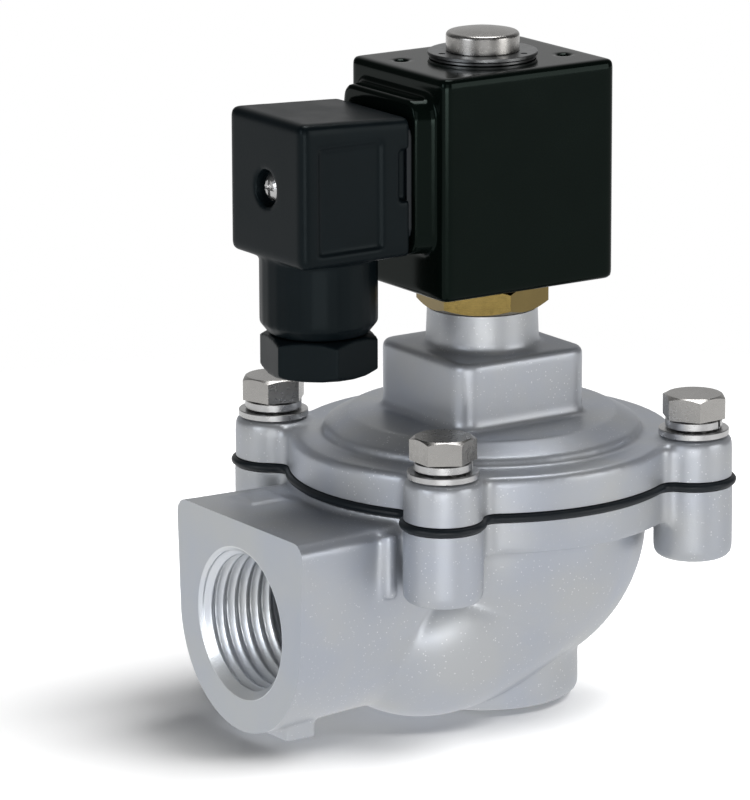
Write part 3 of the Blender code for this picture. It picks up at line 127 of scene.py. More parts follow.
FOOT_LOW = (-60.1 * MM, -10.0 * MM, -0.8 * MM)
FOOT_HIGH = (-52.5 * MM, 10.0 * MM, 4.2 * MM)
PAD_LOW = (-56.0 * MM, 10.0 * MM, 47.0 * MM)
PAD_HIGH = (-47.0 * MM, 19.0 * MM, 49.9 * MM)
PORT_MINOR_R = 15.3 * MM
PORT_MAJOR_R = 16.7 * MM
PORT_CHAMFER_R = 17.4 * MM
PORT_SLEEVE_R = 17.6 * MM
PORT_THREAD_LEN = 19.0 * MM
PORT_PITCH = 3.1 * MM
PORT_AROUND = 180
PORT_STEP = 0.16 * MM
PORT_GAP = 0.02 * MM
PIPE_R = 16.8 * MM
PIPE_BORE_R = 13.4 * MM
PIPE_FOOT_R = 20.0 * MM
PIPE_FOOT_Z = 3.0 * MM
PIPE_SHOULDER = 5.0 * MM
CHAMBER_GAP = 1.4 * MM
CHAMBER_LIFT = 3.0 * MM
VALVE_SEAT_Z = 49.5 * MM
BODY_VOXEL = 0.75 * MM
BODY_ROUNDS = 7

# cover casting
RIM_H = 8.2 * MM
EAR_PAD_H = 9.2 * MM
PAD_ROUND = 1.4 * MM
PAD_INSET = 0.1 * MM
PAD_LOW_H = 4.0 * MM
RIM_ROUND = 1.8 * MM
DISC_R = 36.2 * MM
DISC_H = 10.3 * MM
DISC_SOFT_R = 0.4 * MM
DISC_SOFT_H = 0.5 * MM
DISC_SINK = 1.4 * MM
CONE_R = 30.4 * MM
PLATE_H = 13.1 * MM
BLOCK_HALF = 17.6 * MM
BLOCK_CORNER_R = 4.6 * MM
BLOCK_H = 28.6 * MM
BLOCK_ROUND = 1.4 * MM
SKIRT_OUT = 1.2 * MM
SKIRT_H = 2.2 * MM
SKIRT_SINK = 0.6 * MM
NECK_R = 12.9 * MM
NECK_TOP_R = 12.6 * MM
NECK_H = 37.2 * MM
NECK_FILLET = 1.2 * MM
NECK_SINK = 1.0 * MM
CAVITY_R = 33.6 * MM
CAVITY_H = 9.6 * MM
CAVITY_TOP_R = 25.0 * MM
CAVITY_LOW_H = 2.0 * MM
CAVITY_SLOPE_R = 5.0 * MM
POCKET_R = 12.4 * MM
POCKET_H = 18.6 * MM
PILOT_R = 9.0 * MM
PILOT_DEPTH = 15.5 * MM
PILOT_RECESS = 2.2 * MM
PILOT_RECESS_T = 2.3 * MM
VENT_R = 2.5 * MM
COVER_VOXEL = 0.62 * MM
COVER_ROUNDS = 6

# diaphragm, in two parts: the clamped rim and the middle that moves
RUBBER_Z = 50.7 * MM
RUBBER_T = 1.9 * MM
RUBBER_LIP = 1.0 * MM
CLAMP_R = 34.0 * MM
ROLL_IN_R = 21.0 * MM
ROLL_OUT_R = 32.4 * MM
ROLL_H = 3.0 * MM
ROLL_T = 1.6 * MM
CORE_R = 17.6 * MM
CORE_DROP = 0.8 * MM
CORE_LOW_Z = 49.7 * MM
HUB_R = 4.3 * MM
ROLL_SECTORS = 12
MAIN_SPRING_R = 9.6 * MM
MAIN_WIRE_R = 0.8 * MM
MAIN_SPRING_LOW = 54.6 * MM
MAIN_SPRING_HIGH = 71.2 * MM
SPRING_TURNS = 5.0
SPRING_FLAT_TURNS = 0.75

# pilot spring, in the plunger's pocket
PILOT_SPRING_R = 3.3 * MM
PILOT_WIRE_R = 0.4 * MM
PILOT_SPRING_LOW = 109.1 * MM
PILOT_SPRING_HIGH = 122.5 * MM

# cover bolts M8 with their washers
EAR_Z = 62.0 * MM
SEAT = 0.2 * MM
BOLT_R = 4.0 * MM
BOLT_HEAD_AF = 13.0 * MM
BOLT_HEAD_T = 5.3 * MM
BOLT_LEN = 25.0 * MM
BOLT_TIP = 0.7 * MM
BOLT_IN_HEAD = 1.0 * MM
WASHER_HOLE_R = 4.3 * MM
WASHER_R = 8.0 * MM
WASHER_T = 1.5 * MM
SPLIT_WASHER_R = 6.5 * MM
SPLIT_WASHER_T = 2.1 * MM
SPLIT_WASHER_LOSS = 0.15 * MM
SPLIT_WASHER_LIFT = 0.1 * MM
SPLIT_GAP_DEG = 4.5
SPLIT_SPAN_DEG = 351.0
SPLIT_RISE = 0.25 * MM
SPLIT_SHARE = 0.3
WASHER_SOFT = 0.15 * MM
HEX_INSET = 0.3 * MM
HEX_SLOPE = 0.55
BOLT_TURNS = {"front": 29.0, "right": 4.0, "back": 17.0, "left": 48.0}
SPLIT_TURN_BACK = 68.75

# brass base and stainless tube
HEX_AF = 26.1 * MM
HEX_Z = 90.2 * MM
HEX_TOP_Z = 96.5 * MM
HEX_TURN = -159.8
SPIGOT_R = 8.65 * MM
SPIGOT_Z = 81.6 * MM
SPIGOT_EDGE_R = 0.5 * MM
SPIGOT_EDGE_H = 0.6 * MM
TUBE_R = 8.3 * MM
TUBE_BORE_R = 7.5 * MM
TUBE_BORE_SLIP = 0.05 * MM
TUBE_Z = 91.9 * MM
TUBE_BORE_TOP_Z = 144.65 * MM
GROOVE_R = 7.3 * MM
GROOVE_Z = 147.85 * MM
CAP_Z = 148.95 * MM
CAP_TOP_Z = 153.15 * MM
CAP_DOME = 0.9 * MM
CAP_EDGE = 0.9 * MM
CLIP_R = 12.4 * MM
CLIP_Z = 148.05 * MM
CLIP_T = 0.7 * MM
CLIP_SLOT_W = 15.2 * MM
CLIP_HOLE_R = 0.8 * MM
CLIP_HOLE_AT = 10.2 * MM
CLIP_SOFT = 0.12 * MM
CLIP_GAP = 0.3 * MM
CLIP_MOUTH_TURN = 56.0
CLIP_HOLE_TURNS = (-60.0, 172.0)
CLIP_WASHER_R = 12.1 * MM
CLIP_WASHER_Z = 147.3 * MM
CLIP_WASHER_T = 0.55 * MM

EAR_ANGLES = [math.radians(45.0 + 90.0 * k) for k in range(4)]
EARS = [(BOLT_CIRCLE_R * math.cos(a), BOLT_CIRCLE_R * math.sin(a)) for a in EAR_ANGLES]

# studio: light powers in watts, other values as shares of white
FLOOR_Z = -1.4 * MM
FLOOR_GLOW = 0.01
FLOOR_FADE = (0.16, 0.34)
BACKDROP_WAY = (0.55, 0.83, 0.05)
WORLD_DIM = 0.08
WORLD_BRIGHT = 0.24
WORLD_GLOSS = 0.55
SHADOW_POWER = 24.0
KEY_POWER = 2.0
TOP_POWER = 3.6
CARD_POWER = 1.4
FRONT_POWER = 1.2
LEFT_POWER = 2.0
GLINT_POWER = 2.6
MIDDLE = (0.0, 0.0, 0.06)
PANELS = [
    ("key", (0.50, -0.80, 0.25), MIDDLE, 0.45, KEY_POWER, (1.0, 0.99, 0.98)),
    ("front_fill", (-0.50, -0.95, 0.32), MIDDLE, 0.7, FRONT_POWER, (0.97, 0.98, 1.0)),
    ("left_fill", (-0.9, -0.10, 0.30), (0.0, 0.0, 0.05), 0.4, LEFT_POWER, (0.92, 0.95, 1.0)),
    ("top", (0.16, 0.12, 0.88), MIDDLE, 0.40, TOP_POWER, (1.0, 1.0, 1.0)),
]
FLOOR_BOUNCE = 0.92


def lens_camera():
    a = math.radians(VIEW_AZIMUTH)
    e = math.radians(VIEW_PITCH)
    back = Vector((math.sin(a) * math.cos(e), -math.cos(a) * math.cos(e), math.sin(e)))
    right = Vector((math.cos(a), math.sin(a), 0.0))
    up = back.cross(right)
    roll = math.radians(VIEW_ROLL)
    turned_right = right * math.cos(roll) + up * math.sin(roll)
    turned_up = up * math.cos(roll) - right * math.sin(roll)
    aim = turned_right * VIEW_AIM_SIDE + Vector((0.0, 0.0, VIEW_AIM_Z))
    data = bpy.data.cameras.new("photo_camera")
    data.lens = FOCAL_PX * data.sensor_width / PICTURE_LONG_SIDE_PX
    data.clip_start = 0.05
    data.clip_end = 20.0
    camera = bpy.data.objects.new("photo_camera", data)
    bpy.context.scene.collection.objects.link(camera)
    rotation = Matrix((turned_right, turned_up, back)).transposed().to_4x4()
    camera.matrix_world = Matrix.Translation(aim + back * VIEW_DISTANCE) @ rotation
    bpy.context.scene.camera = camera


def area_light(name, place, aim, size, power, color=(1.0, 1.0, 1.0), size_y=None):
    data = bpy.data.lights.new(name, "AREA")
    data.shape = "RECTANGLE" if size_y else "SQUARE"
    data.size = size
    if size_y:
        data.size_y = size_y
    data.energy = power
    data.color = color
    lamp = bpy.data.objects.new(name, data)
    bpy.context.scene.collection.objects.link(lamp)
    lamp.location = place
    lamp.rotation_euler = (Vector(aim) - Vector(place)).to_track_quat("-Z", "Y").to_euler()
    return lamp


# shader helpers

def node(tree, kind, **values):
    """New shader node; values are socket numbers by name or node properties."""
    made = tree.nodes.new(kind)
    for key, value in values.items():
        if hasattr(made, key):
            setattr(made, key, value)
        else:
            made.inputs[key.replace("_", " ")].default_value = value
    return made


def blank(name):
    mat = bpy.data.materials.new(name)
    mat.use_nodes = True
    tree = mat.node_tree
    shader = tree.nodes["Principled BSDF"]
    coords = node(tree, "ShaderNodeTexCoord")
    return mat, tree, shader, coords.outputs["Object"]


def noise(tree, vector, scale, detail=3.0, roughness=0.5):
    made = node(tree, "ShaderNodeTexNoise", Scale=scale, Detail=detail, Roughness=roughness)
    tree.links.new(vector, made.inputs["Vector"])
    return made.outputs["Fac"]


def ramp(tree, factor, stops):
    made = node(tree, "ShaderNodeValToRGB")
    bar = made.color_ramp
    while len(bar.elements) < len(stops):
        bar.elements.new(0.5)
    for element, (place, color) in zip(bar.elements, stops):
        element.position = place
        element.color = (*color, 1.0) if len(color) == 3 else color
    tree.links.new(factor, made.inputs["Fac"])
    return made.outputs["Color"]


def grey(value):
    return (value, value, value)


def bump(tree, height, strength, distance, normal=None):
    made = node(tree, "ShaderNodeBump", Strength=strength, Distance=distance)
    tree.links.new(height, made.inputs["Height"])
    if normal:
        tree.links.new(normal, made.inputs["Normal"])
    return made.outputs["Normal"]


def mixed(tree, factor, first, second):
    """Shader mix: factor 0 gives the first, 1 the second."""
    made = node(tree, "ShaderNodeMixShader")
    tree.links.new(factor, made.inputs["Fac"])
    tree.links.new(first, made.inputs[1])
    tree.links.new(second, made.inputs[2])
    return made.outputs["Shader"]


def cast_metal(name, tone, rough, grain, glint_share):
    """Satin die casting with a fine sand texture and painted glints: rare white specks with a faint glow."""
    mat, tree, shader, coords = blank(name)
    shader.inputs["Metallic"].default_value = 0.65
    shader.inputs["Roughness"].default_value = rough
    patches = noise(tree, coords, 55.0, 4.0)
    cool = (0.95 * tone[0], 0.97 * tone[1], 1.02 * tone[2])
    warm = (1.03 * tone[0], 1.02 * tone[1], 0.99 * tone[2])
    tree.links.new(ramp(tree, patches, [(0.35, cool), (0.65, warm)]), shader.inputs["Base Color"])
    fine = noise(tree, coords, 2600.0, 2.0)
    wide = noise(tree, coords, 420.0, 3.0)
    soft = bump(tree, wide, 0.5 * grain, 0.0003)
    tree.links.new(bump(tree, fine, grain, 0.00009, soft), shader.inputs["Normal"])
    if glint_share <= 0.0:
        return mat
    # painted glints: a small share of cells turn white and glow faintly, more of them in random clouds
    cells = node(tree, "ShaderNodeTexVoronoi", Scale=2300.0)
    tree.links.new(coords, cells.inputs["Vector"])
    split = node(tree, "ShaderNodeSeparateColor")
    tree.links.new(cells.outputs["Color"], split.inputs["Color"])
    rare = ramp(tree, split.outputs["Red"], [(1.0 - glint_share, grey(0.0)), (1.001 - glint_share, grey(1.0))])
    near = ramp(tree, cells.outputs["Distance"], [(0.25, grey(1.0)), (0.45, grey(0.0))])
    glint_clouds = ramp(tree, noise(tree, coords, 45.0, 2.0), [(0.35, grey(0.10)), (0.65, grey(0.46))])
    spot = node(tree, "ShaderNodeMath", operation="MULTIPLY")
    tree.links.new(rare, spot.inputs[0])
    tree.links.new(near, spot.inputs[1])
    glint_mask = node(tree, "ShaderNodeMath", operation="MULTIPLY")
    tree.links.new(spot.outputs[0], glint_mask.inputs[0])
    tree.links.new(glint_clouds, glint_mask.inputs[1])
    # painted glint: white, faintly glowing surface, though it is no lamp
    glint_shader = node(tree, "ShaderNodeBsdfPrincipled", Metallic=0.2, Roughness=0.35)
    glint_shader.inputs["Base Color"].default_value = (1.0, 1.0, 1.0, 1.0)
    glint_shader.inputs["Emission Color"].default_value = (1.0, 1.0, 1.0, 1.0)
    glint_shader.inputs["Emission Strength"].default_value = 0.04
    out = tree.nodes["Material Output"]
    surface = mixed(tree, glint_mask.outputs[0], shader.outputs[0], glint_shader.outputs[0])
    tree.links.new(surface, out.inputs["Surface"])
    return mat


def plain_metal(name, tone, rough, strength):
    """Turned or plated metal with faint patches."""
    mat, tree, shader, coords = blank(name)
    shader.inputs["Metallic"].default_value = 1.0
    patches = noise(tree, coords, 140.0, 4.0)
    dark = tuple(0.88 * c for c in tone)
    tree.links.new(ramp(tree, patches, [(0.3, dark), (0.7, tone)]), shader.inputs["Base Color"])
    fine = noise(tree, coords, 900.0, 3.0)
    rough_color = ramp(tree, fine, [(0.3, grey(0.85 * rough)), (0.7, grey(1.2 * rough))])
    tree.links.new(rough_color, shader.inputs["Roughness"])
    tree.links.new(bump(tree, fine, strength, 0.0001), shader.inputs["Normal"])
    return mat


def moulded(name, tone, rough, strength, gloss, tint=(1.0, 1.0, 1.0)):
    """Black rubber or plastic with a fine grain."""
    mat, tree, shader, coords = blank(name)
    patches = noise(tree, coords, 90.0, 4.0)
    dark = tuple(0.8 * c for c in tone)
    tree.links.new(ramp(tree, patches, [(0.3, dark), (0.7, tone)]), shader.inputs["Base Color"])
    fine = noise(tree, coords, 1500.0, 2.0)
    rough_color = ramp(tree, patches, [(0.3, grey(0.9 * rough)), (0.7, grey(1.1 * rough))])
    tree.links.new(rough_color, shader.inputs["Roughness"])
    tree.links.new(bump(tree, fine, strength, 0.00008), shader.inputs["Normal"])
    shader.inputs["Specular IOR Level"].default_value = gloss
    shader.inputs["Specular Tint"].default_value = (*tint, 1.0)
    return mat


# the last value of cast_metal is the share of painted glints
CAST = cast_metal("cast_aluminium", (0.45, 0.468, 0.497), 0.42, 0.22, 0.06)
MACHINED = cast_metal("machined_aluminium", (0.47, 0.492, 0.52), 0.38, 0.05, 0.0)
THREAD = cast_metal("cut_thread", (0.62, 0.64, 0.66), 0.33, 0.45, 0.0)
STAINLESS = plain_metal("stainless_steel", (0.42, 0.41, 0.395), 0.28, 0.03)
ZINC = plain_metal("zinc_plated_steel", (0.55, 0.55, 0.55), 0.30, 0.08)
DARK_STEEL = plain_metal("oiled_steel", (0.21, 0.215, 0.218), 0.34, 0.02)
BRASS = plain_metal("turned_brass", (0.19, 0.138, 0.045), 0.20, 0.02)
RUBBER = moulded("diaphragm_rubber", (0.006, 0.010, 0.014), 0.45, 0.2, gloss=0.3)
COIL = moulded("coil_moulding", (0.0018, 0.0036, 0.0028), 0.14, 0.02, tint=(0.72, 1.0, 0.88), gloss=0.09)
PLUG = moulded("plug_moulding", (0.0036, 0.0062, 0.0078), 0.36, 0.10, tint=(0.82, 0.97, 1.0), gloss=0.10)

LOOKS = {
    "cast_aluminium": CAST, "cast_aluminium_cover": CAST, "black_rubber": RUBBER, "stainless": STAINLESS,
    "zinc_plate": ZINC, "brass": BRASS, "coil_black": COIL, "plug_black": PLUG,
}


def dress_nodes():
    """Give every CAD node the material of its slot in the record."""
    for entry in frame["record"]["subparts"]:
        obj = bpy.data.objects[entry["node"]]
        for slot in obj.material_slots:
            slot.material = LOOKS[entry["material_slot"]]


# mesh helpers

def arc(center, radius, start, end, steps):
    points = []
    for i in range(steps + 1):
        a = start + (end - start) * i / steps
        points.append((center[0] + radius * math.cos(a), center[1] + radius * math.sin(a)))
    return points


def revolved(profile, steps=TURNED_STEPS, center=(0.0, 0.0)):
    """Closed body from a profile of (radius, height) that starts and ends on the axis."""
    bm = bmesh.new()
    rings = []
    for radius, z in profile:
        if radius < 1e-7:
            rings.append([bm.verts.new((center[0], center[1], z))])
            continue
        ring = []
        for i in range(steps):
            a = 2.0 * math.pi * i / steps
            ring.append(bm.verts.new((center[0] + radius * math.cos(a), center[1] + radius * math.sin(a), z)))
        rings.append(ring)
    pairs = list(zip(rings, rings[1:]))
    if profile[0][0] > 1e-7:
        pairs.append((rings[-1], rings[0]))
    for a, b in pairs:
        for i in range(steps):
            j = (i + 1) % steps
            corners = [a[i % len(a)], a[j % len(a)], b[j % len(b)], b[i % len(b)]]
            unique = list(dict.fromkeys(corners))
            if len(unique) > 2:
                bm.faces.new(unique)
    bmesh.ops.recalc_face_normals(bm, faces=bm.faces)
    return bm


def lofted(loops):
    """Closed body through rings with the same number of points, ends filled."""
    bm = bmesh.new()
    rings = [[bm.verts.new(point) for point in loop] for loop in loops]
    count = len(rings[0])
    for a, b in zip(rings, rings[1:]):
        for i in range(count):
            j = (i + 1) % count
            bm.faces.new((a[i], a[j], b[j], b[i]))
    bm.faces.new(list(reversed(rings[0])))
    bm.faces.new(rings[-1])
    bmesh.ops.recalc_face_normals(bm, faces=bm.faces)
    return bm


def box(low, high):
    bm = bmesh.new()
    bmesh.ops.create_cube(bm, size=1.0)
    for vert in bm.verts:
        vert.co = [low[k] if vert.co[k] < 0.0 else high[k] for k in range(3)]
    return bm


def rod(radius, z0, z1, center=(0.0, 0.0), steps=48):
    return revolved([(0.0, z0), (radius, z0), (radius, z1), (0.0, z1)], steps, center)


def moved(bm, matrix):
    bmesh.ops.transform(bm, matrix=matrix, verts=bm.verts)
    return bm


def along_x(bm, x0, z):
    """Turn a body made along +Z so that it runs towards +X from x0."""
    return moved(bm, Matrix.Translation((x0, 0.0, z)) @ Matrix.Rotation(math.radians(90.0), 4, "Y"))


def heap(name, parts):
    """One object of several overlapping closed bodies."""
    mesh = bpy.data.meshes.new(name)
    whole = bmesh.new()
    for bm in parts:
        bm.to_mesh(mesh)
        bm.free()
        whole.from_mesh(mesh)
    whole.to_mesh(mesh)
    whole.free()
    obj = bpy.data.objects.new(name, mesh)
    bpy.context.scene.collection.objects.link(obj)
    return obj


def baked(obj):
    """Apply the object's modifiers."""
    bpy.context.view_layer.update()
    graph = bpy.context.evaluated_depsgraph_get()
    mesh = bpy.data.meshes.new_from_object(obj.evaluated_get(graph))
    obj.modifiers.clear()
    obj.data = mesh
    return obj


def cast_skin(obj, voxel, rounds):
    """Fuse the bodies of a casting and round all its edges and inner corners a little."""
    mod = obj.modifiers.new("fuse", "REMESH")
    mod.mode = "VOXEL"
    mod.voxel_size = voxel
    mod.adaptivity = 0.0
    mod = obj.modifiers.new("soften", "SMOOTH")
    mod.factor = 0.5
    mod.iterations = rounds
    return baked(obj)


def carve(obj, cutters, mats=()):
    """Cut closed bodies out of a piece; cut faces take the cutter's material."""
    for mat in mats:
        if mat.name not in [m.name for m in obj.data.materials if m]:
            obj.data.materials.append(mat)
    for i, bm in enumerate(cutters):
        tool = heap(f"{obj.name}_tool_{i}", [bm])
        if mats:
            tool.data.materials.append(mats[i] if i < len(mats) else mats[-1])
        mod = obj.modifiers.new(f"cut_{i}", "BOOLEAN")
        mod.operation = "DIFFERENCE"
        mod.solver = "MANIFOLD"
        mod.material_mode = "TRANSFER" if mats else "INDEX"
        mod.object = tool
        baked(obj)
        bpy.data.objects.remove(tool, do_unlink=True)
    return obj


def join_on(obj, bm):
    """Fuse one more closed body to a piece."""
    extra = heap(f"{obj.name}_extra", [bm])
    for mat in obj.data.materials:
        extra.data.materials.append(mat)
    mod = obj.modifiers.new("join", "BOOLEAN")
    mod.operation = "UNION"
    mod.solver = "MANIFOLD"
    mod.object = extra
    baked(obj)
    bpy.data.objects.remove(extra, do_unlink=True)


def piece(obj, mat, body, replaced=(), smooth=30.0):
    """Finish a piece: material, shading, the body it rides on and the nodes it stands for."""
    if not obj.data.materials:
        obj.data.materials.append(mat)
    obj.data.shade_smooth()
    obj.data.set_sharp_from_angle(angle=math.radians(smooth))
    if body:
        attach(obj, body)
    if replaced:
        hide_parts(*replaced)


def flange_outline(inset):
    """Round flange with four ears; inset moves the whole outline inwards."""
    near = FLANGE_R + EAR_FILLET
    far = EAR_R + EAR_FILLET
    swing = math.acos((BOLT_CIRCLE_R ** 2 + near ** 2 - far ** 2) / (2.0 * BOLT_CIRCLE_R * near))
    lean = math.acos((BOLT_CIRCLE_R ** 2 + far ** 2 - near ** 2) / (2.0 * BOLT_CIRCLE_R * far))
    turn = math.pi - lean
    radius = FLANGE_R - inset
    hollow = EAR_FILLET + inset
    points = []
    for k, angle in enumerate(EAR_ANGLES):
        ear = (BOLT_CIRCLE_R * math.cos(angle), BOLT_CIRCLE_R * math.sin(angle))
        before = (near * math.cos(angle - swing), near * math.sin(angle - swing))
        after = (near * math.cos(angle + swing), near * math.sin(angle + swing))
        points += arc(before, hollow, angle - swing + math.pi, angle - turn + math.pi, 6)
        points += arc(ear, EAR_R - inset, angle - turn, angle + turn, 24)[1:-1]
        points += arc(after, hollow, angle + turn + math.pi, angle + swing + math.pi, 6)
        points += arc((0.0, 0.0), radius, angle + swing, angle + 0.5 * math.pi - swing, 20)[1:-1]
    return points


def level(outline, z):
    return [(x, y, z) for x, y in outline]


def rounded_square(half, corner, steps=8):
    points = []
    for k in range(4):
        a = 0.5 * math.pi * k
        cx = (half - corner) * (1.0 if k in (0, 3) else -1.0)
        cy = (half - corner) * (1.0 if k in (0, 1) else -1.0)
        points += arc((cx, cy), corner, a, a + 0.5 * math.pi, steps)
    return points


def body_forms():
    """Outer forms of the body casting, some a little long where a face is machined off."""
    outline = flange_outline(0.0)
    forms = [lofted([level(outline, SPLIT_Z - FLANGE_T), level(outline, SPLIT_Z + OVERRUN)])]
    bowl_z = SPLIT_Z - BOWL_DROP
    flare_top = SPLIT_Z - FLANGE_T
    bowl = [(0.0, flare_top + OVERRUN), (BOWL_R + BOWL_FLARE, flare_top + OVERRUN)]
    bowl += arc((BOWL_R + BOWL_FLARE, flare_top - BOWL_FLARE), BOWL_FLARE, 0.5 * math.pi, math.pi, 6)
    last = math.acos(OUTLET_BOSS_R / BOWL_R)
    bowl += arc((0.0, bowl_z), BOWL_R, 0.0, -last, 24)[1:]
    corner = (OUTLET_BOSS_R - OUTLET_BOSS_ROUND, OUTLET_BOSS_ROUND)
    bowl += arc(corner, OUTLET_BOSS_ROUND, 0.0, -0.5 * math.pi, 6)
    forms.append(revolved(bowl + [(0.0, 0.0)]))
    forms.append(bowl_lobe(0.0))
    forms.append(inlet_branch())
    for ear in EARS:
        low = SPLIT_Z - BOSS_T
        boss = [(0.0, SPLIT_Z + OVERRUN), (BOSS_R, SPLIT_Z + OVERRUN)]
        boss += arc((BOSS_R - BOSS_ROUND, low + BOSS_ROUND), BOSS_ROUND, 0.0, -0.5 * math.pi, 6)
        forms.append(revolved(boss + [(0.0, low)], 48, ear))
    bolt_at = BOLT_CIRCLE_R / math.sqrt(2.0)
    for side in (-1.0, 1.0):
        spot = (-bolt_at - RIB_OUT, side * (bolt_at - RIB_IN))
        forms.append(rod(RIB_R, SPLIT_Z - RIB_T, INLET_TOP_Z - RIB_DROP, spot, 24))
    forms.append(box(FOOT_LOW, FOOT_HIGH))
    forms.append(box(PAD_LOW, PAD_HIGH))
    return forms


def bowl_lobe(inset):
    """Tilted swollen lobe that leads from the branch under the bowl."""
    bm = bmesh.new()
    bmesh.ops.create_uvsphere(bm, u_segments=96, v_segments=48, radius=1.0)
    halves = (LOBE_HALF_LEN - inset, LOBE_HALF_W - inset, LOBE_HALF_H - inset)
    for vert in bm.verts:
        stretch = sum(abs(c) ** LOBE_POWER for c in vert.co) ** (-1.0 / LOBE_POWER)
        vert.co = [halves[k] * vert.co[k] * stretch for k in range(3)]
    tilt = Matrix.Rotation(math.radians(-LOBE_TILT_DEG), 4, "Y")
    return moved(bm, Matrix.Translation((-LOBE_X, 0.0, LOBE_Z)) @ tilt)


def inlet_branch():
    """Branch with a flat top and a round lower half, narrower where it meets the bowl."""
    turn = math.radians(INLET_LOW_LEAN)
    side_z = INLET_TOP_Z - INLET_TOP_CHAMFER
    loop = [(INLET_HALF_W - INLET_TOP_CHAMFER, INLET_TOP_Z), (INLET_HALF_W, side_z)]
    loop += arc((0.0, INLET_Z), INLET_LOW_R, -turn, -math.pi + turn, 48)
    loop += [(-INLET_HALF_W, side_z), (-INLET_HALF_W + INLET_TOP_CHAMFER, INLET_TOP_Z)]
    shrink = INLET_NECK_HALF_W / INLET_HALF_W
    stations = ((-INLET_X - OVERRUN, 1.0), (-INLET_X, 1.0), (-INLET_NECK_X, shrink), (-0.5 * BOWL_R, shrink))
    rings = []
    for x, scale in stations:
        drop = 0.5 + 0.5 * scale
        rings.append([(x, y * scale, INLET_TOP_Z + (z - INLET_TOP_Z) * drop) for y, z in loop])
    return lofted(rings)


def chamber_tools():
    """Closed bodies that hollow out the bowl and its lobe, and the depth of the dome."""
    inner = BOWL_R - BOWL_WALL
    bowl_z = SPLIT_Z - BOWL_DROP
    foot_reach = PIPE_FOOT_R + CHAMBER_GAP
    depth = math.sqrt(inner * inner - foot_reach * foot_reach)
    dome = [(0.0, SPLIT_Z + OVERRUN), (inner, SPLIT_Z + OVERRUN)]
    dome += arc((0.0, bowl_z), inner, 0.0, -math.asin(depth / inner), 14) + [(0.0, bowl_z - depth)]
    hollow = bowl_lobe(BOWL_WALL)
    geometry = hollow.verts[:] + hollow.edges[:] + hollow.faces[:]
    bmesh.ops.bisect_plane(hollow, geom=geometry, plane_co=(0.0, 0.0, SPLIT_Z - 1.0 * MM),
                           plane_no=(0.0, 0.0, 1.0), clear_outer=True)
    bmesh.ops.holes_fill(hollow, edges=[edge for edge in hollow.edges if edge.is_boundary])
    bmesh.ops.recalc_face_normals(hollow, faces=hollow.faces)
    return revolved(dome), hollow, depth


def body_casting():
    """Body with its machined faces, ring chamber, outlet pipe, ports and bolt holes."""
    obj = cast_skin(heap("body_casting", body_forms()), BODY_VOXEL, BODY_ROUNDS)
    obj.data.materials.append(CAST)
    face = box((-FAR, -FAR, -FAR), (-INLET_X, FAR, FAR))
    above = box((-FAR, -FAR, SPLIT_Z), (FAR, FAR, FAR))
    dome, hollow, depth = chamber_tools()
    carve(obj, [face, above, dome, hollow], [MACHINED, MACHINED, CAST, CAST])
    shoulder = SPLIT_Z - BOWL_DROP - depth + CHAMBER_LIFT
    pipe = [(0.0, PIPE_FOOT_Z), (PIPE_FOOT_R, PIPE_FOOT_Z), (PIPE_FOOT_R, shoulder)]
    pipe += [(PIPE_R, shoulder + PIPE_SHOULDER), (PIPE_R, VALVE_SEAT_Z), (0.0, VALVE_SEAT_Z)]
    join_on(obj, revolved(pipe))
    port = [(0.0, -OVERRUN), (PORT_SLEEVE_R, -OVERRUN), (PORT_SLEEVE_R, PORT_THREAD_LEN)]
    port += [(PORT_MINOR_R, PORT_THREAD_LEN)]
    branch = port + [(PORT_MINOR_R, INLET_BORE_LEN), (0.0, INLET_BORE_LEN)]
    upright = port + [(PIPE_BORE_R, PORT_THREAD_LEN + OVERRUN), (PIPE_BORE_R, SPLIT_Z + OVERRUN)]
    inlet = along_x(revolved(branch), -INLET_X, INLET_Z)
    outlet = revolved(upright + [(0.0, SPLIT_Z + OVERRUN)])
    floor_z = SPLIT_Z - BOSS_T + BOLT_HOLE_FLOOR
    holes = [rod(BOLT_HOLE_R, floor_z, SPLIT_Z + OVERRUN, ear) for ear in EARS]
    carve(obj, [inlet, outlet] + holes, [MACHINED])
    piece(obj, CAST, "valve", ["valve_body"], 34.0)


def thread_sleeve():
    """Cut thread of a port along +Z from its face, with its lead-in chamfer."""
    around = PORT_AROUND
    lengthwise = int(PORT_THREAD_LEN / PORT_STEP)
    bm = bmesh.new()
    rings = []
    for k in range(lengthwise + 1):
        depth = PORT_THREAD_LEN * k / lengthwise
        ring = []
        for i in range(around):
            a = 2.0 * math.pi * i / around
            phase = (depth / PORT_PITCH - i / around) % 1.0
            tooth = min(max(abs(2.0 * phase - 1.0) * 1.5 - 0.25, 0.0), 1.0)
            radius = PORT_MINOR_R + (PORT_MAJOR_R - PORT_MINOR_R) * tooth
            radius = max(radius, PORT_CHAMFER_R - depth)
            ring.append(bm.verts.new((radius * math.cos(a), radius * math.sin(a), depth)))
        rings.append(ring)
    for z in (PORT_THREAD_LEN, 0.0):
        radius = PORT_SLEEVE_R - PORT_GAP
        ring = []
        for i in range(around):
            a = 2.0 * math.pi * i / around
            ring.append(bm.verts.new((radius * math.cos(a), radius * math.sin(a), z)))
        rings.append(ring)
    for a, b in zip(rings, rings[1:] + rings[:1]):
        for i in range(around):
            j = (i + 1) % around
            bm.faces.new((a[i], b[i], b[j], a[j]))
    bmesh.ops.recalc_face_normals(bm, faces=bm.faces)
    return bm


def port_threads():
    inlet = heap("inlet_thread", [along_x(thread_sleeve(), -INLET_X + PORT_GAP, INLET_Z)])
    piece(inlet, THREAD, "valve", smooth=50.0)
    outlet = heap("outlet_thread", [moved(thread_sleeve(), Matrix.Translation((0.0, 0.0, PORT_GAP)))])
    piece(outlet, THREAD, "valve", smooth=50.0)


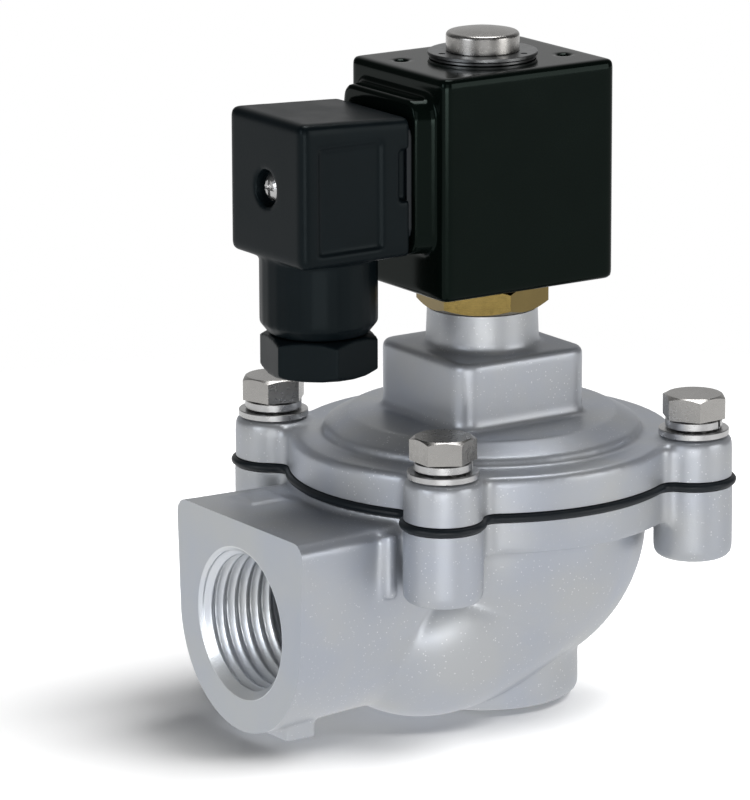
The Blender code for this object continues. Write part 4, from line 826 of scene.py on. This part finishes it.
def cover_forms():
    """Outer forms of the cover casting."""
    plate_z = COVER_Z + PLATE_H
    block_z = COVER_Z + BLOCK_H
    neck_z = COVER_Z + NECK_H
    rim = [level(flange_outline(0.0), COVER_Z - OVERRUN)]
    for step in range(7):
        a = math.radians(15.0 * step)
        z = COVER_Z + RIM_H - RIM_ROUND * (1.0 - math.sin(a))
        rim.append(level(flange_outline(RIM_ROUND * (1.0 - math.cos(a))), z))
    forms = [lofted(rim)]
    disc = [(0.0, plate_z), (CONE_R, plate_z), (DISC_R - DISC_SOFT_R, COVER_Z + DISC_H)]
    disc += [(DISC_R, COVER_Z + DISC_H - DISC_SOFT_H), (DISC_R, COVER_Z + RIM_H - DISC_SINK)]
    forms.append(revolved(disc + [(0.0, COVER_Z + RIM_H - DISC_SINK)]))
    for ear in EARS:
        top = COVER_Z + EAR_PAD_H
        radius = EAR_R - PAD_INSET
        pad = [(0.0, top)] + arc((radius - PAD_ROUND, top - PAD_ROUND), PAD_ROUND, 0.5 * math.pi, 0.0, 6)
        forms.append(revolved(pad + [(radius, COVER_Z + PAD_LOW_H), (0.0, COVER_Z + PAD_LOW_H)], 48, ear))
    tower = [level(rounded_square(BLOCK_HALF, BLOCK_CORNER_R), plate_z - OVERRUN)]
    for step in range(7):
        a = math.radians(15.0 * step)
        inset = BLOCK_ROUND * (1.0 - math.cos(a))
        z = block_z - BLOCK_ROUND * (1.0 - math.sin(a))
        tower.append(level(rounded_square(BLOCK_HALF - inset, BLOCK_CORNER_R - inset), z))
    forms.append(lofted(tower))
    skirt = []
    for step in range(5):
        a = math.radians(22.5 * step)
        out = SKIRT_OUT * (1.0 - math.sin(a))
        z = plate_z - SKIRT_SINK if step == 0 else plate_z + SKIRT_H * (1.0 - math.cos(a))
        skirt.append(level(rounded_square(BLOCK_HALF + out, BLOCK_CORNER_R + out), z))
    forms.append(lofted(skirt))
    neck = [(0.0, neck_z + OVERRUN), (NECK_TOP_R, neck_z + OVERRUN), (NECK_TOP_R, neck_z)]
    neck += [(NECK_R, block_z + NECK_FILLET)]
    neck += arc((NECK_R + NECK_FILLET, block_z + NECK_FILLET), NECK_FILLET, math.pi, 1.5 * math.pi, 5)
    forms.append(revolved(neck + [(NECK_R + NECK_FILLET, block_z - NECK_SINK), (0.0, block_z - NECK_SINK)]))
    return forms


def cover_casting():
    """Cover with its machined faces, spring pocket, pilot bore, vent and bolt holes."""
    obj = cast_skin(heap("cover_casting", cover_forms()), COVER_VOXEL, COVER_ROUNDS)
    obj.data.materials.append(CAST)
    neck_z = COVER_Z + NECK_H
    low = COVER_Z - OVERRUN
    below = box((-FAR, -FAR, -FAR), (FAR, FAR, COVER_Z))
    above = box((-FAR, -FAR, neck_z), (FAR, FAR, FAR))
    hollow = [(0.0, COVER_Z + POCKET_H), (POCKET_R, COVER_Z + POCKET_H), (POCKET_R, COVER_Z + CAVITY_H)]
    hollow += [(CAVITY_TOP_R, COVER_Z + CAVITY_H)]
    hollow += [(CAVITY_TOP_R + CAVITY_SLOPE_R, COVER_Z + CAVITY_H - CAVITY_LOW_H)]
    hollow += [(CAVITY_R, COVER_Z + CAVITY_LOW_H), (CAVITY_R, low), (0.0, low)]
    recess = PILOT_R + PILOT_RECESS
    deep = neck_z - PILOT_DEPTH
    pilot = [(0.0, neck_z + OVERRUN), (recess, neck_z + OVERRUN), (recess, neck_z - PILOT_RECESS_T)]
    pilot += [(PILOT_R, neck_z - PILOT_RECESS_T), (PILOT_R, deep), (0.0, deep)]
    vent_at = Matrix.Translation((0.0, 0.0, deep + VENT_R))
    vent = rod(VENT_R, 0.7 * PILOT_R, BLOCK_HALF + OVERRUN)
    moved(vent, vent_at @ Matrix.Rotation(math.radians(-90.0), 4, "X"))
    holes = [rod(BOLT_HOLE_R, low, COVER_Z + EAR_PAD_H + OVERRUN, ear) for ear in EARS]
    tools = [below, above, revolved(hollow), revolved(pilot), vent]
    carve(obj, tools + holes, [MACHINED, MACHINED, CAST, MACHINED])
    piece(obj, CAST, "valve", ["cover"], 34.0)


def fan(start, end, steps):
    return [math.radians(start + (end - start) * i / steps) for i in range(steps + 1)]


def diaphragm_rim():
    """Clamped rim of the rubber sheet, with its rounded lip all round the flange."""
    lip = RUBBER_T / 2.0
    mid_z = RUBBER_Z + lip
    bm = bmesh.new()
    outline = flange_outline(0.0)
    count = len(outline)
    circle = [(CLAMP_R * x / math.hypot(x, y), CLAMP_R * y / math.hypot(x, y)) for x, y in outline]
    rings = [[bm.verts.new((x, y, z)) for x, y in circle] for z in (RUBBER_Z + RUBBER_T, RUBBER_Z)]
    for step in range(-4, 5):
        a = math.radians(22.0 * step)
        out = RUBBER_LIP - lip + lip * math.cos(a)
        z = mid_z + lip * math.sin(a)
        rings.append([bm.verts.new((x, y, z)) for x, y in flange_outline(-out)])
    for a, b in zip(rings, rings[1:] + rings[:1]):
        for i in range(count):
            j = (i + 1) % count
            bm.faces.new((a[i], a[j], b[j], b[i]))
    bmesh.ops.recalc_face_normals(bm, faces=bm.faces)
    piece(heap("diaphragm_rim", [bm]), RUBBER, "valve", ["main_diaphragm"], 60.0)


def roll_section():
    """Profile of the rolled ring between the core and the clamped rim."""
    top = RUBBER_Z + RUBBER_T
    mid = 0.5 * (ROLL_IN_R + ROLL_OUT_R)
    half = 0.5 * (ROLL_OUT_R - ROLL_IN_R)
    outer = half + 0.4 * ROLL_T
    inner = half - 0.6 * ROLL_T
    low_h = 0.9 * ROLL_H
    section = [(CORE_R + CORE_DROP, top)]
    section += [(mid + outer * math.cos(a), top + ROLL_H * math.sin(a)) for a in fan(180.0, 0.0, 16)]
    section += [(CLAMP_R, top), (CLAMP_R, RUBBER_Z)]
    section += [(mid + inner * math.cos(a), RUBBER_Z + low_h * math.sin(a)) for a in fan(0.0, 180.0, 16)]
    return section + [(CORE_R + CORE_DROP, RUBBER_Z)]


def diaphragm():
    """Rubber sheet: the clamped rim, a rolled ring in sectors on no body, and the hub."""
    diaphragm_rim()
    section = roll_section()
    width = 2.0 * math.pi / ROLL_SECTORS
    for k in range(ROLL_SECTORS):
        start = 2.0 * math.pi * k / ROLL_SECTORS
        loops = []
        for step in range(9):
            a = start + width * step / 8.0
            loops.append([(r * math.cos(a), r * math.sin(a), z) for r, z in section])
        obj = heap(f"diaphragm_roll_{k + 1}", [lofted(loops)])
        piece(obj, RUBBER, None, smooth=60.0)
        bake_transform(obj)
    top = RUBBER_Z + RUBBER_T
    edge = CORE_R + CORE_DROP
    hub = [(HUB_R, top), (edge, top), (edge, RUBBER_Z), (CORE_R, CORE_LOW_Z), (HUB_R, CORE_LOW_Z)]
    piece(heap("diaphragm_hub", [revolved(hub)]), RUBBER, "diaphragm_core", smooth=40.0)


def closing_coil(name, replaced, radius, wire_r, low, high):
    """Round wire spring with flat end turns, riding on the valve body."""
    turns = SPRING_TURNS
    flat = SPRING_FLAT_TURNS
    steps = 240
    z0 = low + wire_r
    z1 = high - wire_r
    loops = []
    for i in range(steps + 1):
        t = i / steps
        a = 2.0 * math.pi * turns * t
        share = min(max((t * turns - flat) / (turns - 2.0 * flat), 0.0), 1.0)
        z = z0 + (z1 - z0) * share
        loop = []
        for k in range(12):
            b = 2.0 * math.pi * k / 12.0
            r = radius + wire_r * math.cos(b)
            loop.append((r * math.cos(a), r * math.sin(a), z + wire_r * math.sin(b)))
        loops.append(loop)
    obj = heap(name, [lofted(loops)])
    piece(obj, STAINLESS, "valve", [replaced], 60.0)
    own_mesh(obj)


def springs():
    closing_coil("closing_spring", "main_spring", MAIN_SPRING_R, MAIN_WIRE_R,
                 MAIN_SPRING_LOW, MAIN_SPRING_HIGH)
    closing_coil("pilot_spring", "plunger_spring", PILOT_SPRING_R, PILOT_WIRE_R,
                 PILOT_SPRING_LOW, PILOT_SPRING_HIGH)


def hex_prism(across_flats, z0, z1, turn, center, low=False):
    """Hexagon with its corners turned down to a round chamfer on top, and below where asked."""
    per_side = 12
    reach = across_flats / math.sqrt(3.0)
    angles = [turn + math.pi * i / 3.0 for i in range(6)]
    corners = [(reach * math.cos(a), reach * math.sin(a)) for a in angles]
    outline = []
    for i in range(6):
        (ax, ay), (bx, by) = corners[i], corners[(i + 1) % 6]
        for k in range(per_side):
            outline.append((ax + (bx - ax) * k / per_side, ay + (by - ay) * k / per_side))
    flat = 0.5 * across_flats - HEX_INSET
    cx, cy = center

    def shoulder(z, down):
        return [(cx + x, cy + y, z + down * HEX_SLOPE * (math.hypot(x, y) - flat)) for x, y in outline]

    def round_end(z):
        return [(cx + flat * x / math.hypot(x, y), cy + flat * y / math.hypot(x, y), z) for x, y in outline]

    if low:
        loops = [round_end(z0), shoulder(z0, 1.0)]
    else:
        loops = [level([(cx + x, cy + y) for x, y in outline], z0)]
    return lofted(loops + [shoulder(z1, -1.0), round_end(z1)])


def plain_washer(label, ear, z):
    soft = WASHER_SOFT
    top = z + WASHER_T
    ring = [(WASHER_HOLE_R, top), (WASHER_R - soft, top), (WASHER_R, top - soft)]
    ring += [(WASHER_R, z + soft), (WASHER_R - soft, z), (WASHER_HOLE_R, z)]
    obj = heap(f"plain_washer_{label}", [revolved(ring, 64, ear)])
    piece(obj, ZINC, "valve", [f"flat_washer_{label}"])


def spring_washer(label, ear, z, turn):
    """Open washer whose two ends stand at slightly different heights."""
    soft = WASHER_SOFT
    low = z + SPLIT_WASHER_LIFT
    high = z + SPLIT_WASHER_T - SPLIT_WASHER_LOSS
    section = [(WASHER_HOLE_R, low), (SPLIT_WASHER_R - soft, low), (SPLIT_WASHER_R, low + soft)]
    section += [(SPLIT_WASHER_R, high - soft), (SPLIT_WASHER_R - soft, high), (WASHER_HOLE_R, high)]
    begin = turn - math.radians(SPLIT_TURN_BACK) + math.radians(SPLIT_GAP_DEG)
    steps = 56
    loops = []
    for i in range(steps + 1):
        a = begin + math.radians(SPLIT_SPAN_DEG) * i / steps
        rise = SPLIT_SHARE * SPLIT_RISE * (i / steps - 0.5)
        loops.append([(ear[0] + r * math.cos(a), ear[1] + r * math.sin(a), h + rise) for r, h in section])
    obj = heap(f"spring_washer_{label}", [lofted(loops)])
    piece(obj, ZINC, "valve", [f"split_washer_{label}"])


def cover_screws():
    """Hexagon screw, spring washer and plain washer on every ear."""
    labels = {"front": (-1, -1), "right": (1, -1), "back": (1, 1), "left": (-1, 1)}
    at = BOLT_CIRCLE_R / math.sqrt(2.0)
    for label, (sx, sy) in labels.items():
        ear = (sx * at, sy * at)
        turn = math.radians(BOLT_TURNS[label])
        z = EAR_Z + SEAT
        plain_washer(label, ear, z)
        z += WASHER_T + SEAT
        spring_washer(label, ear, z, turn)
        z += SPLIT_WASHER_T + SEAT
        head = hex_prism(BOLT_HEAD_AF, z, z + BOLT_HEAD_T, turn, ear)
        tip = EAR_Z + SEAT + WASHER_T - BOLT_LEN
        inside = z + BOLT_IN_HEAD
        shank = [(0.0, tip), (BOLT_R - BOLT_TIP, tip), (BOLT_R, tip + BOLT_TIP)]
        shank += [(BOLT_R, inside), (0.0, inside)]
        obj = heap(f"hexagon_screw_{label}", [head, revolved(shank, 48, ear)])
        piece(obj, STAINLESS, "valve", [f"cover_bolt_{label}"], 25.0)


def brass_nut():
    """Brass base: chamfered hexagon on a spigot, bored for the tube."""
    head = hex_prism(HEX_AF, HEX_Z, HEX_TOP_Z, math.radians(HEX_TURN), (0.0, 0.0), True)
    inside = HEX_Z + BOLT_IN_HEAD
    spigot = [(0.0, SPIGOT_Z), (SPIGOT_R - SPIGOT_EDGE_R, SPIGOT_Z), (SPIGOT_R, SPIGOT_Z + SPIGOT_EDGE_H)]
    spigot += [(SPIGOT_R, inside), (0.0, inside)]
    obj = heap("brass_base", [head])
    obj.data.materials.append(BRASS)
    join_on(obj, revolved(spigot))
    narrow = TUBE_BORE_R + TUBE_BORE_SLIP
    wide = TUBE_R + CLIP_GAP
    step_z = TUBE_Z - SEAT
    bore = [(0.0, SPIGOT_Z - OVERRUN), (narrow, SPIGOT_Z - OVERRUN), (narrow, step_z), (wide, step_z)]
    bore += [(wide, HEX_TOP_Z + OVERRUN), (0.0, HEX_TOP_Z + OVERRUN)]
    carve(obj, [revolved(bore)])
    piece(obj, BRASS, "valve", ["tube_base"], 25.0)


def guide_tube():
    """Stainless tube with its groove and slightly domed cap."""
    top = [(0.0, CAP_TOP_Z + CAP_DOME)]
    for i in range(1, 13):
        x = i / 12.0
        top.append((x * (TUBE_R - CAP_EDGE), CAP_TOP_Z + CAP_DOME * (1.0 - x * x)))
    top += arc((TUBE_R - CAP_EDGE, CAP_TOP_Z - CAP_EDGE), CAP_EDGE, math.radians(80.0), 0.0, 8)
    groove = [(TUBE_R, CAP_Z), (GROOVE_R, CAP_Z), (GROOVE_R, GROOVE_Z), (TUBE_R, GROOVE_Z)]
    bore = [(TUBE_R, TUBE_Z), (TUBE_BORE_R, TUBE_Z), (TUBE_BORE_R, TUBE_BORE_TOP_Z), (0.0, TUBE_BORE_TOP_Z)]
    obj = heap("guide_tube", [revolved(top + groove + bore)])
    piece(obj, STAINLESS, "valve", ["pilot_tube"])


def clip_and_ring():
    """Plain ring on the coil and the slotted spring clip in the tube's groove."""
    soft = CLIP_SOFT
    hole = TUBE_R + CLIP_GAP
    top = CLIP_WASHER_Z + CLIP_WASHER_T
    ring = [(hole, top), (CLIP_WASHER_R - soft, top), (CLIP_WASHER_R, top - soft)]
    ring += [(CLIP_WASHER_R, CLIP_WASHER_Z), (hole, CLIP_WASHER_Z)]
    piece(heap("plain_ring", [revolved(ring)]), DARK_STEEL, "valve", ["clip_washer"])
    top = CLIP_Z + CLIP_T
    disc = [(0.0, CLIP_Z), (CLIP_R, CLIP_Z), (CLIP_R, top - soft), (CLIP_R - soft, top), (0.0, top)]
    obj = heap("spring_clip", [revolved(disc)])
    obj.data.materials.append(DARK_STEEL)
    low = CLIP_Z - OVERRUN
    high = top + OVERRUN
    mouth = box((0.0, -0.5 * CLIP_SLOT_W, low), (2.0 * CLIP_R, 0.5 * CLIP_SLOT_W, high))
    moved(mouth, Matrix.Rotation(math.radians(CLIP_MOUTH_TURN), 4, "Z"))
    cutters = [rod(GROOVE_R + CLIP_GAP, low, high), mouth]
    for turn in CLIP_HOLE_TURNS:
        a = math.radians(turn)
        spot = (CLIP_HOLE_AT * math.cos(a), CLIP_HOLE_AT * math.sin(a))
        cutters.append(rod(CLIP_HOLE_R, low, high, spot, 24))
    carve(obj, cutters)
    piece(obj, DARK_STEEL, "valve", ["coil_clip"])


def softened(name, source, voxel, rounds, mat, body):
    """Fine copy of a moulded node with small radii on all its edges."""
    mesh = bpy.data.objects[source].data.copy()
    mesh.name = name
    mesh.materials.clear()
    obj = bpy.data.objects.new(name, mesh)
    bpy.context.scene.collection.objects.link(obj)
    cast_skin(obj, voxel, rounds)
    piece(obj, mat, body, [source], 60.0)


def moulded_parts():
    softened("coil_moulding", "coil", 0.55 * MM, 5, COIL, "coil")
    softened("plug_moulding", "connector_shell", 0.42 * MM, 7, PLUG, "coil")
    softened("gland_moulding", "gland_nut", 0.35 * MM, 3, PLUG, "coil")


def white_world():
    """White backdrop; gloss shows it behind the object, and the light it gives is dim."""
    world = bpy.data.worlds.new("studio")
    bpy.context.scene.world = world
    world.use_nodes = True
    tree = world.node_tree
    tree.nodes.clear()
    out = node(tree, "ShaderNodeOutputWorld")
    seen = node(tree, "ShaderNodeBackground", Strength=1.0)
    seen.inputs["Color"].default_value = (1.0, 1.0, 1.0, 1.0)
    way = node(tree, "ShaderNodeTexCoord")
    away = node(tree, "ShaderNodeVectorMath", operation="DOT_PRODUCT")
    away.inputs[1].default_value = BACKDROP_WAY
    tree.links.new(way.outputs["Generated"], away.inputs[0])
    skies = []
    for strength in (WORLD_BRIGHT, WORLD_GLOSS):
        sky = node(tree, "ShaderNodeBackground", Strength=1.0)
        stops = [(0.0, grey(WORLD_DIM)), (0.55, grey(WORLD_DIM)), (0.95, grey(strength))]
        tree.links.new(ramp(tree, away.outputs["Value"], stops), sky.inputs["Color"])
        skies.append(sky.outputs[0])
    path = node(tree, "ShaderNodeLightPath")
    lit = mixed(tree, path.outputs["Is Glossy Ray"], skies[0], skies[1])
    tree.links.new(mixed(tree, path.outputs["Is Camera Ray"], lit, seen.outputs[0]), out.inputs["Surface"])


def floor():
    """White floor that keeps the soft shadow and fades into the backdrop; other rays see it glow evenly."""
    bm = bmesh.new()
    bmesh.ops.create_grid(bm, x_segments=1, y_segments=1, size=1.5)
    obj = heap("floor", [bm])
    obj.location.z = FLOOR_Z
    mat, tree, shader, coords = blank("floor_white")
    shader.inputs["Roughness"].default_value = 0.9
    shader.inputs["Specular IOR Level"].default_value = 0.0
    shader.inputs["Emission Color"].default_value = (1.0, 1.0, 1.0, 1.0)
    shader.inputs["Emission Strength"].default_value = FLOOR_GLOW
    cloud = noise(tree, coords, 3.0, 2.0)
    tree.links.new(ramp(tree, cloud, [(0.3, grey(0.93)), (0.7, grey(0.95))]), shader.inputs["Base Color"])
    reach = node(tree, "ShaderNodeVectorMath", operation="LENGTH")
    tree.links.new(coords, reach.inputs[0])
    fade = ramp(tree, reach.outputs["Value"], [(FLOOR_FADE[0], grey(0.0)), (FLOOR_FADE[1], grey(1.0))])
    clear = node(tree, "ShaderNodeBsdfTransparent")
    seen = mixed(tree, fade, shader.outputs[0], clear.outputs[0])
    bounce = node(tree, "ShaderNodeEmission", Strength=FLOOR_BOUNCE)
    path = node(tree, "ShaderNodeLightPath")
    out = tree.nodes["Material Output"]
    tree.links.new(mixed(tree, path.outputs["Is Camera Ray"], bounce.outputs[0], seen), out.inputs["Surface"])
    obj.data.materials.append(mat)


def only(lamp, name, objects, leave_out=False):
    """Light only these objects with this lamp, or all but these."""
    group = bpy.data.collections.new(name)
    for obj in objects:
        group.objects.link(obj)
    if leave_out:
        for entry in group.collection_objects:
            entry.light_linking.link_state = "EXCLUDE"
    lamp.light_linking.receiver_collection = group


def lights():
    """One lamp for the floor's shadow, soft panels for the object, one panel for the port's thread."""
    ground = bpy.data.objects["floor"]
    shadow = area_light("floor_light", (0.42, -0.20, 0.90), (0.0, 0.0, 0.0), 0.85, SHADOW_POWER)
    only(shadow, "floor_only", [ground])
    for name, place, aim, size, power, color in PANELS:
        lamp = area_light(name, place, aim, size, power, color)
        only(lamp, f"{name}_all_but_floor", [ground], True)
    card = area_light("low_card", (-0.40, -0.60, 0.03), (0.0, 0.0, 0.03), 0.5, CARD_POWER, size_y=0.12)
    shiny = [obj for obj in bpy.data.objects if obj.name.startswith(("guide_tube", "hexagon_screw"))]
    only(card, "low_card_on_castings", [ground] + shiny, True)
    glint = area_light("port_glint", (-0.75, -0.42, 0.38), (-0.05, 0.0, 0.02), 0.25, GLINT_POWER)
    only(glint, "thread_only", [bpy.data.objects["inlet_thread"]])


lens_camera()
white_world()
floor()
dress_nodes()
body_casting()
port_threads()
cover_casting()
diaphragm()
springs()
cover_screws()
brass_nut()
guide_tube()
clip_and_ring()
moulded_parts()
lights()
bpy.context.scene.view_settings.view_transform = "Standard"
